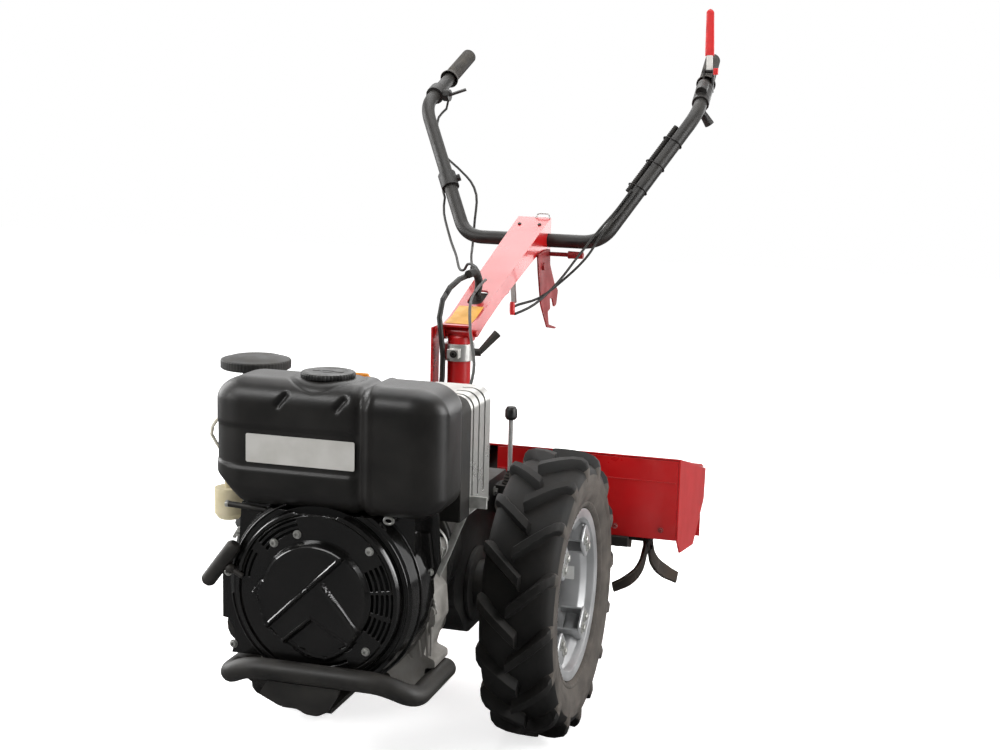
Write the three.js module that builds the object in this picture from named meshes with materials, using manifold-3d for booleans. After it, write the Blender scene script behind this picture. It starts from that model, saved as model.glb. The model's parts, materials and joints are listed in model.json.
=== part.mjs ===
// Walking tractor: a two-wheel tractor with a single-cylinder engine in front of
// its axle, a swivelling handlebar column behind it, and a rotary tiller on its
// power take-off. Millimetres, +Z up, the engine faces -Y, +X is the tractor's left.
// Sizes along Y and Z are measured from the axle line and the floor. The finished
// machine is then moved so that the middle of its box's floor is the origin.
import * as THREE from 'three';
import { mergeVertices } from 'three/addons/utils/BufferGeometryUtils.js';
import { RoundedBoxGeometry } from 'three/addons/geometries/RoundedBoxGeometry.js';
import Module from 'manifold-3d';

// ---- Driving dimensions ---------------------------------------------------
const gap = 0.3;              // left between pieces that touch
const running = 0.5;          // left around a turning shaft

// Wheels
const tyreRadius = 281;       // over the tread lugs
const tyreWidth = 145;
const beadRadius = 152;       // 12 inch rim
const flangeRadius = 168;
const rimWidth = 104;         // between the flanges
const rimSheet = 4;
const wellDepth = 18;
const turnedSides = 30;
const track = 498;            // between the tyres' middles
const discOffset = 16;        // wheel disc, inboard of the tyre's middle
const axleRadius = 18;
const axleFlangeRadius = 52;

// Gearbox and engine
const axleZ = tyreRadius;
const gearboxHalf = 95;
const gearboxRear = 212;
const gearboxTop = 470;
const gearboxFloor = 190;
const axleHousing = [48, 165];           // radius, and reach from the middle
const crankZ = 408;
const bellRadius = 126;
const crankcaseRear = -245;
const crankcaseFront = -462;
const footZ = 221;                       // underside of the engine's feet
const footHalf = 171;
const footRear = -392;                   // the feet's rear end
const barrelHalf = 118;                  // crankcase behind the feet
const bedSheet = 8;
const shroudFront = -545;
const shroudTop = 545.7;
const drum = { x: -8, radius: 176, edge: 165, rear: -500 };  // fan shroud's round front
const recoilRadius = 148;
const domeRadius = 90;
const recoilFront = -577;
const plateFront = -522;                 // plate beside the fan shroud's drum
const headTop = 722;
const headSide = -92;
const tank = { x: [-205, 213], y: [-559, -415], z: [546, 765.5], corner: 44 };
const tankWall = 5;
const neckRadius = 30;
const fuelCap = { x: -18, y: -487, radius: 46, height: 11 };
const guard = { x: [88, 192], y: [-404, -238], z: [516, 726], corner: 26, sheet: 3 };
const guardSlots = 4;
const mufflerWall = 3;
const filterBox = { x: [-272, -112], y: [-385, -225], z: [540, 714] };
const filterCup = { x: -238, y: -412, floor: 483 };
const preCleaner = { x: -238, y: -300, stem: 24, disc: 64, top: 762 };

// Bumper
const bumperTube = 18;
const bumperFront = -583;                // its middle line
const footBottom = 153;                  // half width of the feet between the rails
const bumperHalf = footBottom + bumperTube + gap;
const bumperZ = 251;                     // the rails
const bumperRise = 27;                   // front bar above the rails
const bumperBar = 120;                   // half length of the raised bar
const bumperRear = -400;
const noseY = [-588, -579];              // the bed's nose under the bumper

// Handlebar column
const columnY = 165;
const columnRadius = 24;
const bandZ = [700, 735];                // clamp band round the swivel
const tilt = { y: 165, z: 756, eye: 12 };         // pin that the handlebar arm tilts on
const armSheet = 4;
const armClear = 3;            // between the column and the arm's inner walls
const armTopWidth = 80;
const armWidth = [2 * (columnRadius + armSheet + armClear), armTopWidth];
const barTube = 16;
const barCorner = 45;
const bar = { half: 165, y: 704, z: 905.5 };
const barBend = { half: 343, y: 911, z: 1207 };
const barEnd = { half: 325, y: 1198, z: 1337 };
const gripWall = 3;
const gripRadius = barTube + gripWall;
const gripLength = 150;

// Rotary tiller
const rotor = { y: 528, z: 268, radius: 161, shaft: 15, flange: 34 };
const tinePhase = 0.21 * Math.PI;
const flangeX = [100, 220, 340];
const tineReach = 60;
const tineWidth = 38;
const tineSheet = 8;
const hoodHalf = 437;
const hoodFront = 353;
const hoodSheet = 4;
const hoodBottom = 309;
const hoodTopFront = 488;
const hoodRear = { y: 690, z: 403 };
const casingHalf = 28;
const flapLength = 170;
const flapKnuckle = 5;
const skidHalf = 12;
const skidY = [600, 628];

// ---- Finishes -------------------------------------------------------------
const finish = (color, roughness, metalness) =>
  new THREE.MeshStandardMaterial({ color, roughness, metalness });
const redPaint = finish(0xc8141a, 0.35, 0);
const blackPaint = finish(0x111111, 0.3, 0);
const satinBlack = finish(0x1b1a19, 0.55, 0);
const plastic = finish(0x201f1e, 0.6, 0);
const rubber = finish(0x1d1c1b, 0.85, 0);
const greyMetal = finish(0x9b9c9a, 0.45, 0.8);
const castAlloy = finish(0xa3a19c, 0.6, 0.6);
const darkSteel = finish(0x2b2a29, 0.5, 0.7);
const brightSteel = finish(0xc9c9c7, 0.3, 0.9);
const yellowPlastic = finish(0xe39a1c, 0.5, 0);
const creamPlastic = finish(0xd9cfae, 0.5, 0);

// ---- Solids ---------------------------------------------------------------
const wasm = await Module();
wasm.setup();

// A closed solid from a geometry, turned right side out if its faces point in.
function solid(geometry, place = new THREE.Matrix4()) {
  const bare = new THREE.BufferGeometry();
  bare.setAttribute('position', geometry.getAttribute('position').clone());
  if (geometry.index) bare.setIndex(geometry.index.clone());
  bare.applyMatrix4(place);
  const merged = mergeVertices(bare, 1e-4);
  const points = merged.getAttribute('position').array;
  const corners = [];
  let volume = 0;
  const [a, b, c] = [new THREE.Vector3(), new THREE.Vector3(), new THREE.Vector3()];
  for (let i = 0; i < merged.index.count; i += 3) {
    const [p, q, r] = [merged.index.getX(i), merged.index.getX(i + 1), merged.index.getX(i + 2)];
    if (p === q || q === r || r === p) continue;
    a.fromArray(points, 3 * p);
    b.fromArray(points, 3 * q);
    c.fromArray(points, 3 * r);
    volume += a.dot(b.clone().cross(c));
    corners.push([p, q, r]);
  }
  const triVerts = Uint32Array.from(corners.flatMap((t) => (volume < 0 ? t.reverse() : t)));
  return new wasm.Manifold(new wasm.Mesh({ numProp: 3, vertProperties: points, triVerts }));
}

const shift = (x, y, z) => new THREE.Matrix4().makeTranslation(x, y, z);
const join = (...solids) => solids.reduce((all, one) => all.add(one));

// A box between two limits on each axis.
function block([x0, x1], [y0, y1], [z0, z1]) {
  const box = new THREE.BoxGeometry(x1 - x0, y1 - y0, z1 - z0);
  return solid(box, shift((x0 + x1) / 2, (y0 + y1) / 2, (z0 + z1) / 2));
}

// A round rod from one point to another, or a cone when its end radius differs.
function rod(radius, from, to, sides = 20, endRadius = radius) {
  const [start, end] = [new THREE.Vector3(...from), new THREE.Vector3(...to)];
  const along = end.clone().sub(start);
  const turn = new THREE.Quaternion();
  turn.setFromUnitVectors(new THREE.Vector3(0, 1, 0), along.clone().normalize());
  const middle = start.add(end).multiplyScalar(0.5);
  const place = new THREE.Matrix4().compose(middle, turn, new THREE.Vector3(1, 1, 1));
  return solid(new THREE.CylinderGeometry(endRadius, radius, along.length(), sides), place);
}

// A shape with each corner rounded, from its corner points.
function outline(points, radius = 0) {
  const shape = new THREE.Shape();
  const corners = points.map(([x, y]) => new THREE.Vector2(x, y));
  corners.forEach((corner, i) => {
    const before = corners[(i + corners.length - 1) % corners.length];
    const after = corners[(i + 1) % corners.length];
    const cut = Math.min(radius, corner.distanceTo(before) / 2.01, corner.distanceTo(after) / 2.01);
    const enter = corner.clone().lerp(before, cut / corner.distanceTo(before));
    const leave = corner.clone().lerp(after, cut / corner.distanceTo(after));
    if (i === 0) shape.moveTo(enter.x, enter.y);
    else shape.lineTo(enter.x, enter.y);
    if (cut > 0) shape.quadraticCurveTo(corner.x, corner.y, leave.x, leave.y);
  });
  shape.closePath();
  return shape;
}

// Outlines carried along one axis: (y, z) along X, (x, z) along Y, (x, y) along Z.
const axes = {
  X: [new THREE.Vector3(0, 1, 0), new THREE.Vector3(0, 0, 1), new THREE.Vector3(1, 0, 0)],
  Y: [new THREE.Vector3(1, 0, 0), new THREE.Vector3(0, 0, 1), new THREE.Vector3(0, -1, 0)],
  Z: [new THREE.Vector3(1, 0, 0), new THREE.Vector3(0, 1, 0), new THREE.Vector3(0, 0, 1)],
};
function extrude(axis, shape, [low, high], curveSegments = 4) {
  const flat = { depth: high - low, bevelEnabled: false, curveSegments };
  const place = new THREE.Matrix4().makeBasis(...axes[axis]);
  const start = axis === 'Y' ? high * -1 : low;
  return solid(new THREE.ExtrudeGeometry(shape, flat), place.multiply(shift(0, 0, start)));
}

// A tube along straight runs whose corners are rounded.
function tube(points, radius, bend, { sides = 12, steps = 40 } = {}) {
  const path = new THREE.CurvePath();
  const corners = points.map((p) => new THREE.Vector3(...p));
  let from = corners[0];
  for (let i = 1; i < corners.length - 1; i += 1) {
    const [before, corner, after] = [corners[i - 1], corners[i], corners[i + 1]];
    const enter = corner.clone().lerp(before, bend / corner.distanceTo(before));
    const leave = corner.clone().lerp(after, bend / corner.distanceTo(after));
    path.add(new THREE.LineCurve3(from, enter));
    path.add(new THREE.QuadraticBezierCurve3(enter, corner, leave));
    from = leave;
  }
  path.add(new THREE.LineCurve3(from, corners.at(-1)));
  return sweep(path, radius, sides, steps);
}

function sweep(path, radius, sides, steps) {
  const ring = new THREE.Shape();
  for (let i = 0; i < sides; i += 1) {
    const turn = (2 * Math.PI * i) / sides;
    if (i === 0) ring.moveTo(radius, 0);
    else ring.lineTo(radius * Math.cos(turn), radius * Math.sin(turn));
  }
  ring.closePath();
  const settings = { steps, extrudePath: path, bevelEnabled: false };
  return solid(new THREE.ExtrudeGeometry(ring, settings));
}

// A smooth cable through its points.
function cable(points, radius) {
  const path = new THREE.CatmullRomCurve3(points.map((p) => new THREE.Vector3(...p)), false, 'centripetal');
  const steps = Math.min(60, Math.ceil(path.getLength() / (radius * 7)));
  return sweep(path, radius, 8, steps);
}

// A turned solid from its closed profile of (radius, distance along the axis).
function turned(axis, profile, [x, y, z], sides = turnedSides) {
  const points = [...profile, profile[0]].map(([r, a]) => new THREE.Vector2(r, a));
  const place = shift(x, y, z);
  if (axis === 'X') place.multiply(new THREE.Matrix4().makeRotationZ(-Math.PI / 2));
  if (axis === 'Z') place.multiply(new THREE.Matrix4().makeRotationX(Math.PI / 2));
  return solid(new THREE.LatheGeometry(points, sides), place);
}

// A solid between four-cornered sections that follow each other along Y.
function channel(stations) {
  const count = stations[0].length;
  const points = stations.flat();
  const faces = [];
  for (let s = 0; s < stations.length - 1; s += 1) {
    for (let i = 0; i < count; i += 1) {
      const [a, b] = [s * count + i, s * count + ((i + 1) % count)];
      faces.push(a, b, b + count, a, b + count, a + count);
    }
  }
  const flat = stations[0].map(([x, , z]) => new THREE.Vector2(x, z));
  const last = (stations.length - 1) * count;
  for (const [a, b, c] of THREE.ShapeUtils.triangulateShape(flat, [])) {
    faces.push(a, c, b, last + a, last + b, last + c);
  }
  const geometry = new THREE.BufferGeometry();
  geometry.setAttribute('position', new THREE.Float32BufferAttribute(points.flat(), 3));
  geometry.setIndex(faces);
  return solid(geometry);
}

const machine = new THREE.Group();
function node(name, shape, material) {
  const mesh = shape.getMesh();
  const geometry = new THREE.BufferGeometry();
  geometry.setAttribute('position', new THREE.BufferAttribute(mesh.vertProperties, 3));
  geometry.setIndex(new THREE.BufferAttribute(mesh.triVerts, 1));
  const piece = new THREE.Mesh(geometry, material);
  piece.name = name;
  machine.add(piece);
}
const sides = [['left', 1], ['right', -1]];
const span = (sign, low, high) => (sign > 0 ? [low, high] : [-high, -low]);

// ---- Wheels ---------------------------------------------------------------
function tyre(x) {
  const seat = rimWidth / 2 - 2 * gap;
  const half = tyreWidth / 2;
  const wall = tyreRadius - beadRadius;
  const side = [
    [beadRadius + 0.5, seat],
    [flangeRadius + 0.5, seat],
    [flangeRadius + 0.1 * wall, half * 0.92],
    [beadRadius + 0.52 * wall, half],
    [tyreRadius - 0.24 * wall, half * 0.97],
    [tyreRadius - 0.08 * wall, half * 0.84],
    [tyreRadius, half * 0.62],
  ];
  const other = side.map(([r, a]) => [r, -a]).reverse();
  return turned('X', [...side, ...other], [x, 0, axleZ]);
}

function rim(x) {
  const half = rimWidth / 2;
  const well = beadRadius - wellDepth;
  const outside = [
    [flangeRadius, half + rimSheet],
    [flangeRadius, half],
    [beadRadius, half],
    [beadRadius, half - 14],
    [well, half - 24],
  ];
  const inside = [
    [well - rimSheet, half - 22],
    [beadRadius - rimSheet, half - 12],
    [beadRadius - rimSheet, half + rimSheet],
  ];
  const mirrored = (run) => run.map(([r, a]) => [r, -a]).reverse();
  const profile = [...outside, ...mirrored(outside), ...mirrored(inside), ...inside];
  return turned('X', profile, [x, 0, axleZ]);
}

// The disc is a pressed plate with four arms that bolt to the rim's well.
function wheelDisc(x, sign) {
  const reach = beadRadius - wellDepth - rimSheet - 1.1 * gap;
  const sheet = 6;
  const face = [x - sheet / 2, x + sheet / 2];
  const centre = [0, axleZ];
  const plate = rod(78, [face[0], ...centre], [face[1], ...centre], 40);
  const arm = block(face, [-28, 28], [axleZ, axleZ + reach + 2]);
  const foot = block(span(sign, Math.abs(x) - 3, Math.abs(x) + 27), [-28, 28], [axleZ + reach - 6, axleZ + reach + 2]);
  const boss = rod(34, [x, ...centre], [x + sign * 16, ...centre], 24);
  let disc = join(plate, boss);
  for (let i = 0; i < 4; i += 1) {
    const turn = new THREE.Matrix4().makeRotationX((i * Math.PI) / 2 + Math.PI / 4);
    const spin = shift(0, 0, axleZ).multiply(turn).multiply(shift(0, 0, -axleZ));
    disc = disc.add(join(arm, foot).transform(spin.toArray()));
  }
  const room = turned('X', [[0, -40], [reach, -40], [reach, 40], [0, 40]], [x, ...centre]);
  return disc.intersect(room);
}

function axle(sign) {
  const inner = sign * (axleHousing[1] + gap);
  const discFace = sign * (track / 2 - discOffset - 3 - gap);
  const shaft = rod(axleRadius, [inner, 0, axleZ], [discFace, 0, axleZ]);
  const flange = rod(axleFlangeRadius, [discFace - sign * 12, 0, axleZ], [discFace, 0, axleZ], 24);
  return join(shaft, flange);
}

function wheels() {
  for (const [side, sign] of sides) {
    const middle = (sign * track) / 2;
    node(`tyre_${side}`, tyre(middle), rubber);
    node(`rim_${side}`, rim(middle), greyMetal);
    node(`wheel_disc_${side}`, wheelDisc(middle - sign * discOffset, sign), greyMetal);
    node(`axle_${side}`, axle(sign), darkSteel);
  }
}

// ---- Gearbox and clutch housing -------------------------------------------
const bellRear = -130;
const leverBoss = { x: [gearboxHalf - 5, 132], y: [128, 172], z: [395, 452] };
const outputRadius = 52;
const outputZ = 318;
const outputRear = 262;
function gearbox() {
  const casing = [
    [bellRear + gap, 272], [-96, 245], [-66, 206], [-40, gearboxFloor], [70, gearboxFloor], [130, 240],
    [gearboxRear, 270], [gearboxRear, gearboxTop], [40, gearboxTop],
    [-60, gearboxTop - 10], [bellRear + gap, gearboxTop - 20],
  ];
  const [radius, reach] = axleHousing;
  return join(
    extrude('X', outline(casing, 16), [-gearboxHalf, gearboxHalf]),
    rod(radius, [-reach, 0, axleZ], [reach, 0, axleZ], 28),
    rod(outputRadius, [0, gearboxRear - 2, outputZ], [0, outputRear, outputZ], 28),
    block(leverBoss.x, leverBoss.y, leverBoss.z),
  );
}

function clutchHousing() {
  const front = crankcaseRear + gap;
  const bell = rod(bellRadius, [0, front, crankZ], [0, front + 60, crankZ], 36);
  const neck = rod(bellRadius, [0, front + 60, crankZ], [0, bellRear, crankZ], 36, bellRadius * 0.75);
  return join(bell, neck);
}

function gearLever() {
  const x = 119;
  const y = 150;
  const top = 586;
  node('gear_lever', rod(5, [x, y, leverBoss.z[1] + gap], [x, y, top], 12), brightSteel);
  const knob = [[0, 0], [9, 0], [13, 6], [13, 20], [9, 27], [0, 27]];
  node('gear_knob', turned('Z', knob, [x, y, top + gap], 12), blackPaint);
}

// ---- Engine ---------------------------------------------------------------
function crankcase() {
  const half = footHalf;
  const low = footBottom;
  const ledge = bumperZ + bumperTube + gap;
  const casing = [
    [-low, footZ], [-100, footZ], [-88, 252], [88, 252], [100, footZ], [low, footZ],
    [low, ledge], [half, ledge], [half, 284], [150, 292], [162, 335], [half, 350], [half - 4, 402],
    [126, 440], [-126, 440], [-half + 4, 402], [-half, 350], [-162, 335], [-150, 292],
    [-half, 284], [-half, ledge], [-low, ledge],
  ];
  const barrel = [
    [-88, 236], [88, 236], [barrelHalf, 275], [barrelHalf, 440], [-barrelHalf, 440], [-barrelHalf, 275],
  ];
  return join(
    extrude('Y', outline(casing, 5), [crankcaseFront, footRear]),
    extrude('Y', outline(barrel, 12), [footRear - 2, crankcaseRear]),
  );
}

function cylinderBlock() {
  const y = [crankcaseRear - 150, crankcaseRear - 8];
  const barrel = block([-82, 84], y, [440 + gap, 640]);
  const head = block([headSide, 84], y, [640, 700]);
  const cover = block([-86, 78], [y[0] + 8, y[1] - 8], [700, headTop]);
  return join(barrel, head, cover);
}

function oilCap() {
  const profile = [[0, 0], [15, 0], [15, 8], [23, 8], [23, 24], [0, 24]];
  return turned('Z', profile, [-30, -320, headTop + gap], 16);
}

// The shroud is a round drum with a flat plate on its left and a flange on its right.
function fanShroud() {
  const rear = crankcaseFront - gap;
  const { x, radius, edge } = drum;
  const profile = [
    [0, -shroudFront], [edge - 8, -shroudFront], [edge, -shroudFront - 5], [radius, -drum.rear], [radius, -rear], [0, -rear],
  ].map(([r, a]) => [r, -a]);
  const round = turned('Y', profile, [x, 0, crankZ], 48);
  const plate = [
    [-60, 278], [-180, 276], [-174, 301], [-176, 319], [-187, 337], [-197, 338], [-197, 430],
    [-166, 475], [-158, shroudTop + 40], [-60, shroudTop + 40],
  ];
  const flange = [
    [60, 290], [99, 290], [114, 305], [139, 350], [150, 398], [167, 430], [179, 460],
    [172, shroudTop + 40], [60, shroudTop + 40],
  ];
  const below = block([-300, 300], [-700, 0], [0, shroudTop]);
  return join(
    round,
    extrude('Y', outline(plate), [plateFront, plateFront + 10]),
    extrude('Y', outline(flange), [rear - 9, rear]),
    block([-150, 150], [plateFront + 5, rear], [470, shroudTop + 20]),
  ).intersect(below);
}

function recoilCover() {
  const depth = shroudFront - gap - recoilFront;
  const profile = [
    [0, 0], [recoilRadius, 0], [recoilRadius, depth * 0.2], [recoilRadius - 8, depth * 0.35],
    [domeRadius + 10, depth * 0.42], [domeRadius + 2, depth * 0.9], [domeRadius - 6, depth], [0, depth],
  ];
  const flipped = profile.map(([r, a]) => [r, -a]);
  const cover = turned('Y', flipped, [drum.x, shroudFront - gap, crankZ], 40);
  return cover.intersect(block([-300, 300], [-700, 0], [0, shroudTop]));
}

// The starter's T-shaped handle stands in front of the recoil cover's left rim.
function starterHandle() {
  const y = -560;
  const bar = rod(13, [-209, y, 409], [-154, y, 483], 12, 12);
  return join(bar, rod(5, [-170, y - 1, 443], [-140, y - 1.8, 429], 10));
}

function roundedBox({ x, y, z, corner }) {
  const size = [x, y, z].map(([low, high]) => high - low);
  const middle = [x, y, z].map(([low, high]) => (low + high) / 2);
  return solid(new RoundedBoxGeometry(...size, 2, corner), shift(...middle));
}

// A rounded box with a wall of one thickness; a mouth is cut in it afterwards.
function hollowBox({ x, y, z, corner }, wall) {
  const inner = [x, y, z].map(([low, high]) => [low + wall, high - wall]);
  const room = { x: inner[0], y: inner[1], z: inner[2], corner: corner - wall };
  return roundedBox({ x, y, z, corner }).subtract(roundedBox(room));
}

function engine() {
  node('crankcase', crankcase(), castAlloy);
  node('cylinder_block', cylinderBlock(), castAlloy);
  node('oil_cap', oilCap(), yellowPlastic);
  node('fan_shroud', fanShroud(), blackPaint);
  node('recoil_cover', recoilCover(), blackPaint);
  node('starter_handle', starterHandle(), plastic);
  const neck = rod(neckRadius, [fuelCap.x, fuelCap.y, tank.z[1] - 60], [fuelCap.x, fuelCap.y, tank.z[1] + 10]);
  node('fuel_tank', hollowBox(tank, tankWall).subtract(neck), plastic);
  const capSides = 24;
  const capFloor = tank.z[1] + gap;
  const cap = rod(fuelCap.radius, [fuelCap.x, fuelCap.y, capFloor],
    [fuelCap.x, fuelCap.y, capFloor + fuelCap.height], capSides, fuelCap.radius * 0.94);
  node('fuel_cap', cap, plastic);
}

function airCleaner() {
  const { x, y, z } = filterBox;
  const duct = block([x[1] - 4, headSide - gap], [-340, -284], [650, 692]);
  node('air_filter_box', join(roundedBox({ x, y, z, corner: 14 }), duct), plastic);
  const { stem, disc, top } = preCleaner;
  const rise = top - z[1] - gap;
  const profile = [
    [0, 0], [stem, 0], [stem, rise - 26], [disc, rise - 22],
    [disc, rise - 8], [disc * 0.7, rise], [0, rise],
  ];
  node('pre_cleaner', turned('Z', profile, [preCleaner.x, preCleaner.y, z[1] + gap], 28), plastic);
  const height = z[0] - gap - filterCup.floor;
  const cup = [[0, 0], [18, 0], [26, 10], [26, height], [0, height]];
  const pipeZ = z[0] + 20;
  const fitting = join(
    turned('Z', cup, [filterCup.x, filterCup.y, filterCup.floor], 20),
    rod(8, [filterCup.x, filterCup.y, z[0] - 4], [filterCup.x, filterCup.y, pipeZ + 7], 14),
    rod(6, [filterCup.x, filterCup.y, pipeZ], [filterCup.x, y[0] - gap, pipeZ], 14),
  );
  node('fuel_filter', fitting, creamPlastic);
}

// The guard is one bent sheet, open towards the engine, with upright slots.
function exhaust() {
  const { x, y, z, corner, sheet } = guard;
  const bent = (inset) => {
    const shape = new THREE.Shape();
    const [right, top, r] = [x[1] - inset, z[1] - inset, corner - inset];
    shape.moveTo(x[0], z[0]);
    shape.lineTo(right, z[0]);
    shape.lineTo(right, top - r);
    shape.absarc(right - r, top - r, r, 0, Math.PI / 2, false);
    shape.lineTo(x[0], top);
    shape.closePath();
    return shape;
  };
  let sleeve = extrude('Y', bent(0), y, 6);
  const cavity = extrude('Y', bent(sheet), [y[0] - 1, y[1] + 1], 6);
  const below = block([x[0] - 1, x[1] - sheet], [y[0] - 1, y[1] + 1], [z[0] - 1, z[0] + 20]);
  sleeve = sleeve.subtract(cavity).subtract(below);
  const pitch = (y[1] - y[0]) / (guardSlots + 1);
  for (let i = 1; i <= guardSlots; i += 1) {
    const middle = y[0] + i * pitch;
    sleeve = sleeve.subtract(block([x[1] - 44, x[1] + 1], [middle - 4, middle + 4], [z[0] + 26, z[1] + 1]));
  }
  const cap = extrude('Y', bent(0), [y[0] - 4, y[0]], 6);
  node('muffler_guard', sleeve.add(cap), brightSteel);
  const space = 2;
  const body = {
    x: [84 + gap, x[1] - sheet - space],
    y: [y[0] + space, y[1] + space],
    z: [z[0] + 18, z[1] - sheet - gap],
    corner: 22,
  };
  const outletX = (body.x[0] + body.x[1]) / 2;
  const outlet = (radius, past) => rod(radius, [outletX, y[1] - past, 590], [outletX, y[1] + 16 + past / 9, 590], 16);
  const hollow = hollowBox(body, mufflerWall);
  node('muffler', hollow.add(outlet(16, 0)).subtract(outlet(13.5, 18)), darkSteel);
}

function bumper() {
  const half = (sign) => [
    [sign * bumperHalf, bumperRear, bumperZ], [sign * bumperHalf, bumperFront + 24, bumperZ],
    [sign * bumperBar, bumperFront, bumperZ + bumperRise],
  ];
  node('bumper', tube([...half(-1), ...half(1).reverse()], bumperTube, 28, { steps: 40 }), satinBlack);
  const [front, rear, narrow] = [crankcaseFront - 10, crankcaseRear - 6, 110];
  const plate = [
    [-footBottom, front], [-60, front], [-60, noseY[1]], [30, noseY[1]], [30, front], [footBottom, front],
    [footBottom, footRear], [narrow, footRear], [narrow, rear], [-narrow, rear], [-narrow, footRear],
    [-footBottom, footRear],
  ];
  const top = footZ - gap;
  const roof = bumperZ + bumperRise - bumperTube - gap;
  const nose = [
    [-84, roof], [-98, 234], [-61, 218], [-27, 216], [-14, 209], [8, 208], [27, 218], [45, 250], [46, roof],
  ];
  const bed = join(
    extrude('Z', outline(plate), [top - bedSheet, top]),
    extrude('Y', outline(nose, 6), noseY),
  );
  node('engine_bed', bed, satinBlack);
}

// ---- Handlebar column -----------------------------------------------------
function column() {
  const floor = gearboxTop + gap;
  const seam = (bandZ[0] + bandZ[1]) / 2;
  const post = rod(columnRadius, [0, columnY, floor], [0, columnY, seam - gap], 28);
  const foot = rod(46, [0, columnY, floor], [0, columnY, floor + 14], 28);
  node('column_base', join(post, foot), redPaint);
  const ringIn = columnRadius + 2 * gap;
  const band = turned('Z', [[ringIn, 0], [ringIn + 7, 0], [ringIn + 7, 35], [ringIn, 35]],
    [0, columnY, bandZ[0]], 28);
  const bolt = block([-12, 12], [columnY - ringIn - 20, columnY - ringIn - 3], [bandZ[0] + 8, bandZ[1] - 8]);
  node('column_band', join(band, bolt), brightSteel);
  const head = rod(columnRadius, [0, columnY, seam + gap], [0, columnY, tilt.z - 6], 28);
  const eyeHalf = armWidth[0] / 2 - armSheet - 1;
  const eye = rod(tilt.eye, [-eyeHalf, tilt.y, tilt.z], [eyeHalf, tilt.y, tilt.z], 28);
  const pinReach = armWidth[0] / 2 + 8;
  const pin = rod(7, [-pinReach, tilt.y, tilt.z], [pinReach, tilt.y, tilt.z], 16);
  node('column_head', join(head, eye, pin), redPaint);
  // The lever tightens the clamp band from its left.
  const root = [ringIn + 7 + gap, columnY, seam];
  const lever = join(
    rod(8, root, [root[0] + 14, columnY + 2, seam], 12),
    rod(6, [root[0] + 11, columnY + 2, seam], [74, columnY + 25, 756], 12, 9),
  );
  node('column_lever', lever, plastic);
}

// The arm is a folded sheet channel, open below, that widens towards the bar.
function handlebarArm() {
  const ridge = [
    { y: 141, z: 774, deep: 26 }, { y: 190, z: 784, deep: 38 }, { y: 240, z: 800, deep: 34 }, { y: 347, z: 837, deep: 34 },
    { y: 600, z: 918, deep: 44 }, { y: 660, z: 937.5, deep: 60 }, { y: 722, z: 957.5, deep: 78 },
  ];
  const length = ridge.at(-1).y - ridge[0].y;
  const stations = (inset) => ridge.map(({ y, z, deep }) => {
    const width = armWidth[0] + ((armWidth[1] - armWidth[0]) * (y - ridge[0].y)) / length;
    const half = width / 2 - inset;
    const floor = z - deep - (inset > 0 ? 40 : 0);
    return [[-half, y, floor], [half, y, floor], [half, y, z - inset], [-half, y, z - inset]];
  });
  const solidArm = channel(stations(0));
  const inner = stations(armSheet);
  const stretch = inner.map((ring, i) => ring.map(([x, y, z]) => {
    const past = i === 0 ? -1 : i === inner.length - 1 ? 1 : 0;
    return [x, y + past, z];
  }));
  const hole = extrude('Z', outline([[-17, 252], [17, 252], [17, 318], [-17, 318]], 16), [760, 1000]);
  const barHole = rod(barTube + gap, [-100, bar.y, bar.z], [100, bar.y, bar.z], 24);
  const ears = sides.map(([, sign]) => rod(tilt.eye + 3, [sign * (armWidth[0] / 2 - armSheet), tilt.y, tilt.z],
    [(sign * armWidth[0]) / 2, tilt.y, tilt.z], 24));
  const pinHole = rod(7 + running, [-60, tilt.y, tilt.z], [60, tilt.y, tilt.z], 20);
  const web = outline([[551, 840], [583, 850], [640, 880], [690, 884], [690, 849], [616, 787], [576, 782], [549, 798]], 6);
  const wall = -armWidth[0] / 2;
  const gusset = extrude('X', web, [wall - 4, wall + 3]);
  const shell = join(solidArm.subtract(channel(stretch)), gusset, ...ears);
  return shell.subtract(join(hole, barHole, pinHole));
}

function handlebar() {
  const run = (sign) => [
    [sign * bar.half, bar.y, bar.z], [sign * barBend.half, barBend.y, barBend.z],
    [sign * barEnd.half, barEnd.y, barEnd.z],
  ];
  const points = [...run(-1).reverse(), ...run(1)];
  node('handlebar', tube(points, barTube, barCorner, { sides: 12, steps: 56 }), satinBlack);
  for (const [side, sign] of sides) {
    const end = new THREE.Vector3(sign * barEnd.half, barEnd.y, barEnd.z);
    const bend = new THREE.Vector3(sign * barBend.half, barBend.y, barBend.z);
    const back = bend.sub(end).normalize();
    const at = (distance) => end.clone().addScaledVector(back, distance).toArray();
    const sleeve = rod(gripRadius, at(-4), at(gripLength), 20);
    const collar = rod(gripRadius + 5, at(gripLength - 8), at(gripLength), 20);
    const bore = rod(barTube + gap, at(-gap), at(gripLength + 5), 20);
    node(`grip_${side}`, join(sleeve, collar).subtract(bore), rubber);
  }
}

// ---- Controls -------------------------------------------------------------
// The hook bracket hangs from the arm's left side below the bar, over the linkage.
function hookBracket() {
  const plate = outline([
    [600, 880], [668, 886], [706, 885], [710, 848], [757, 798], [790, 779], [778, 746], [758, 742],
    [742, 764], [716, 768], [722, 742], [700, 738], [712, 706], [784, 690], [770, 688],
    [700, 700], [640, 760], [610, 840],
  ], 5);
  const arms = armWidth[1] / 2 + gap;
  const cheek = extrude('X', plate, [arms, arms + 4]);
  return join(cheek, rod(9, [arms, 645, 850], [arms + 9, 645, 850], 16), selectorRod(arms + 2));
}

function selectorRod(start) {
  const [y, z] = [bar.y - 6, bar.z - 31];
  return join(rod(5, [start, y, z], [92, y, z], 12), rod(9, [90, y, z], [126, y, z], 14, 8));
}

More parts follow.
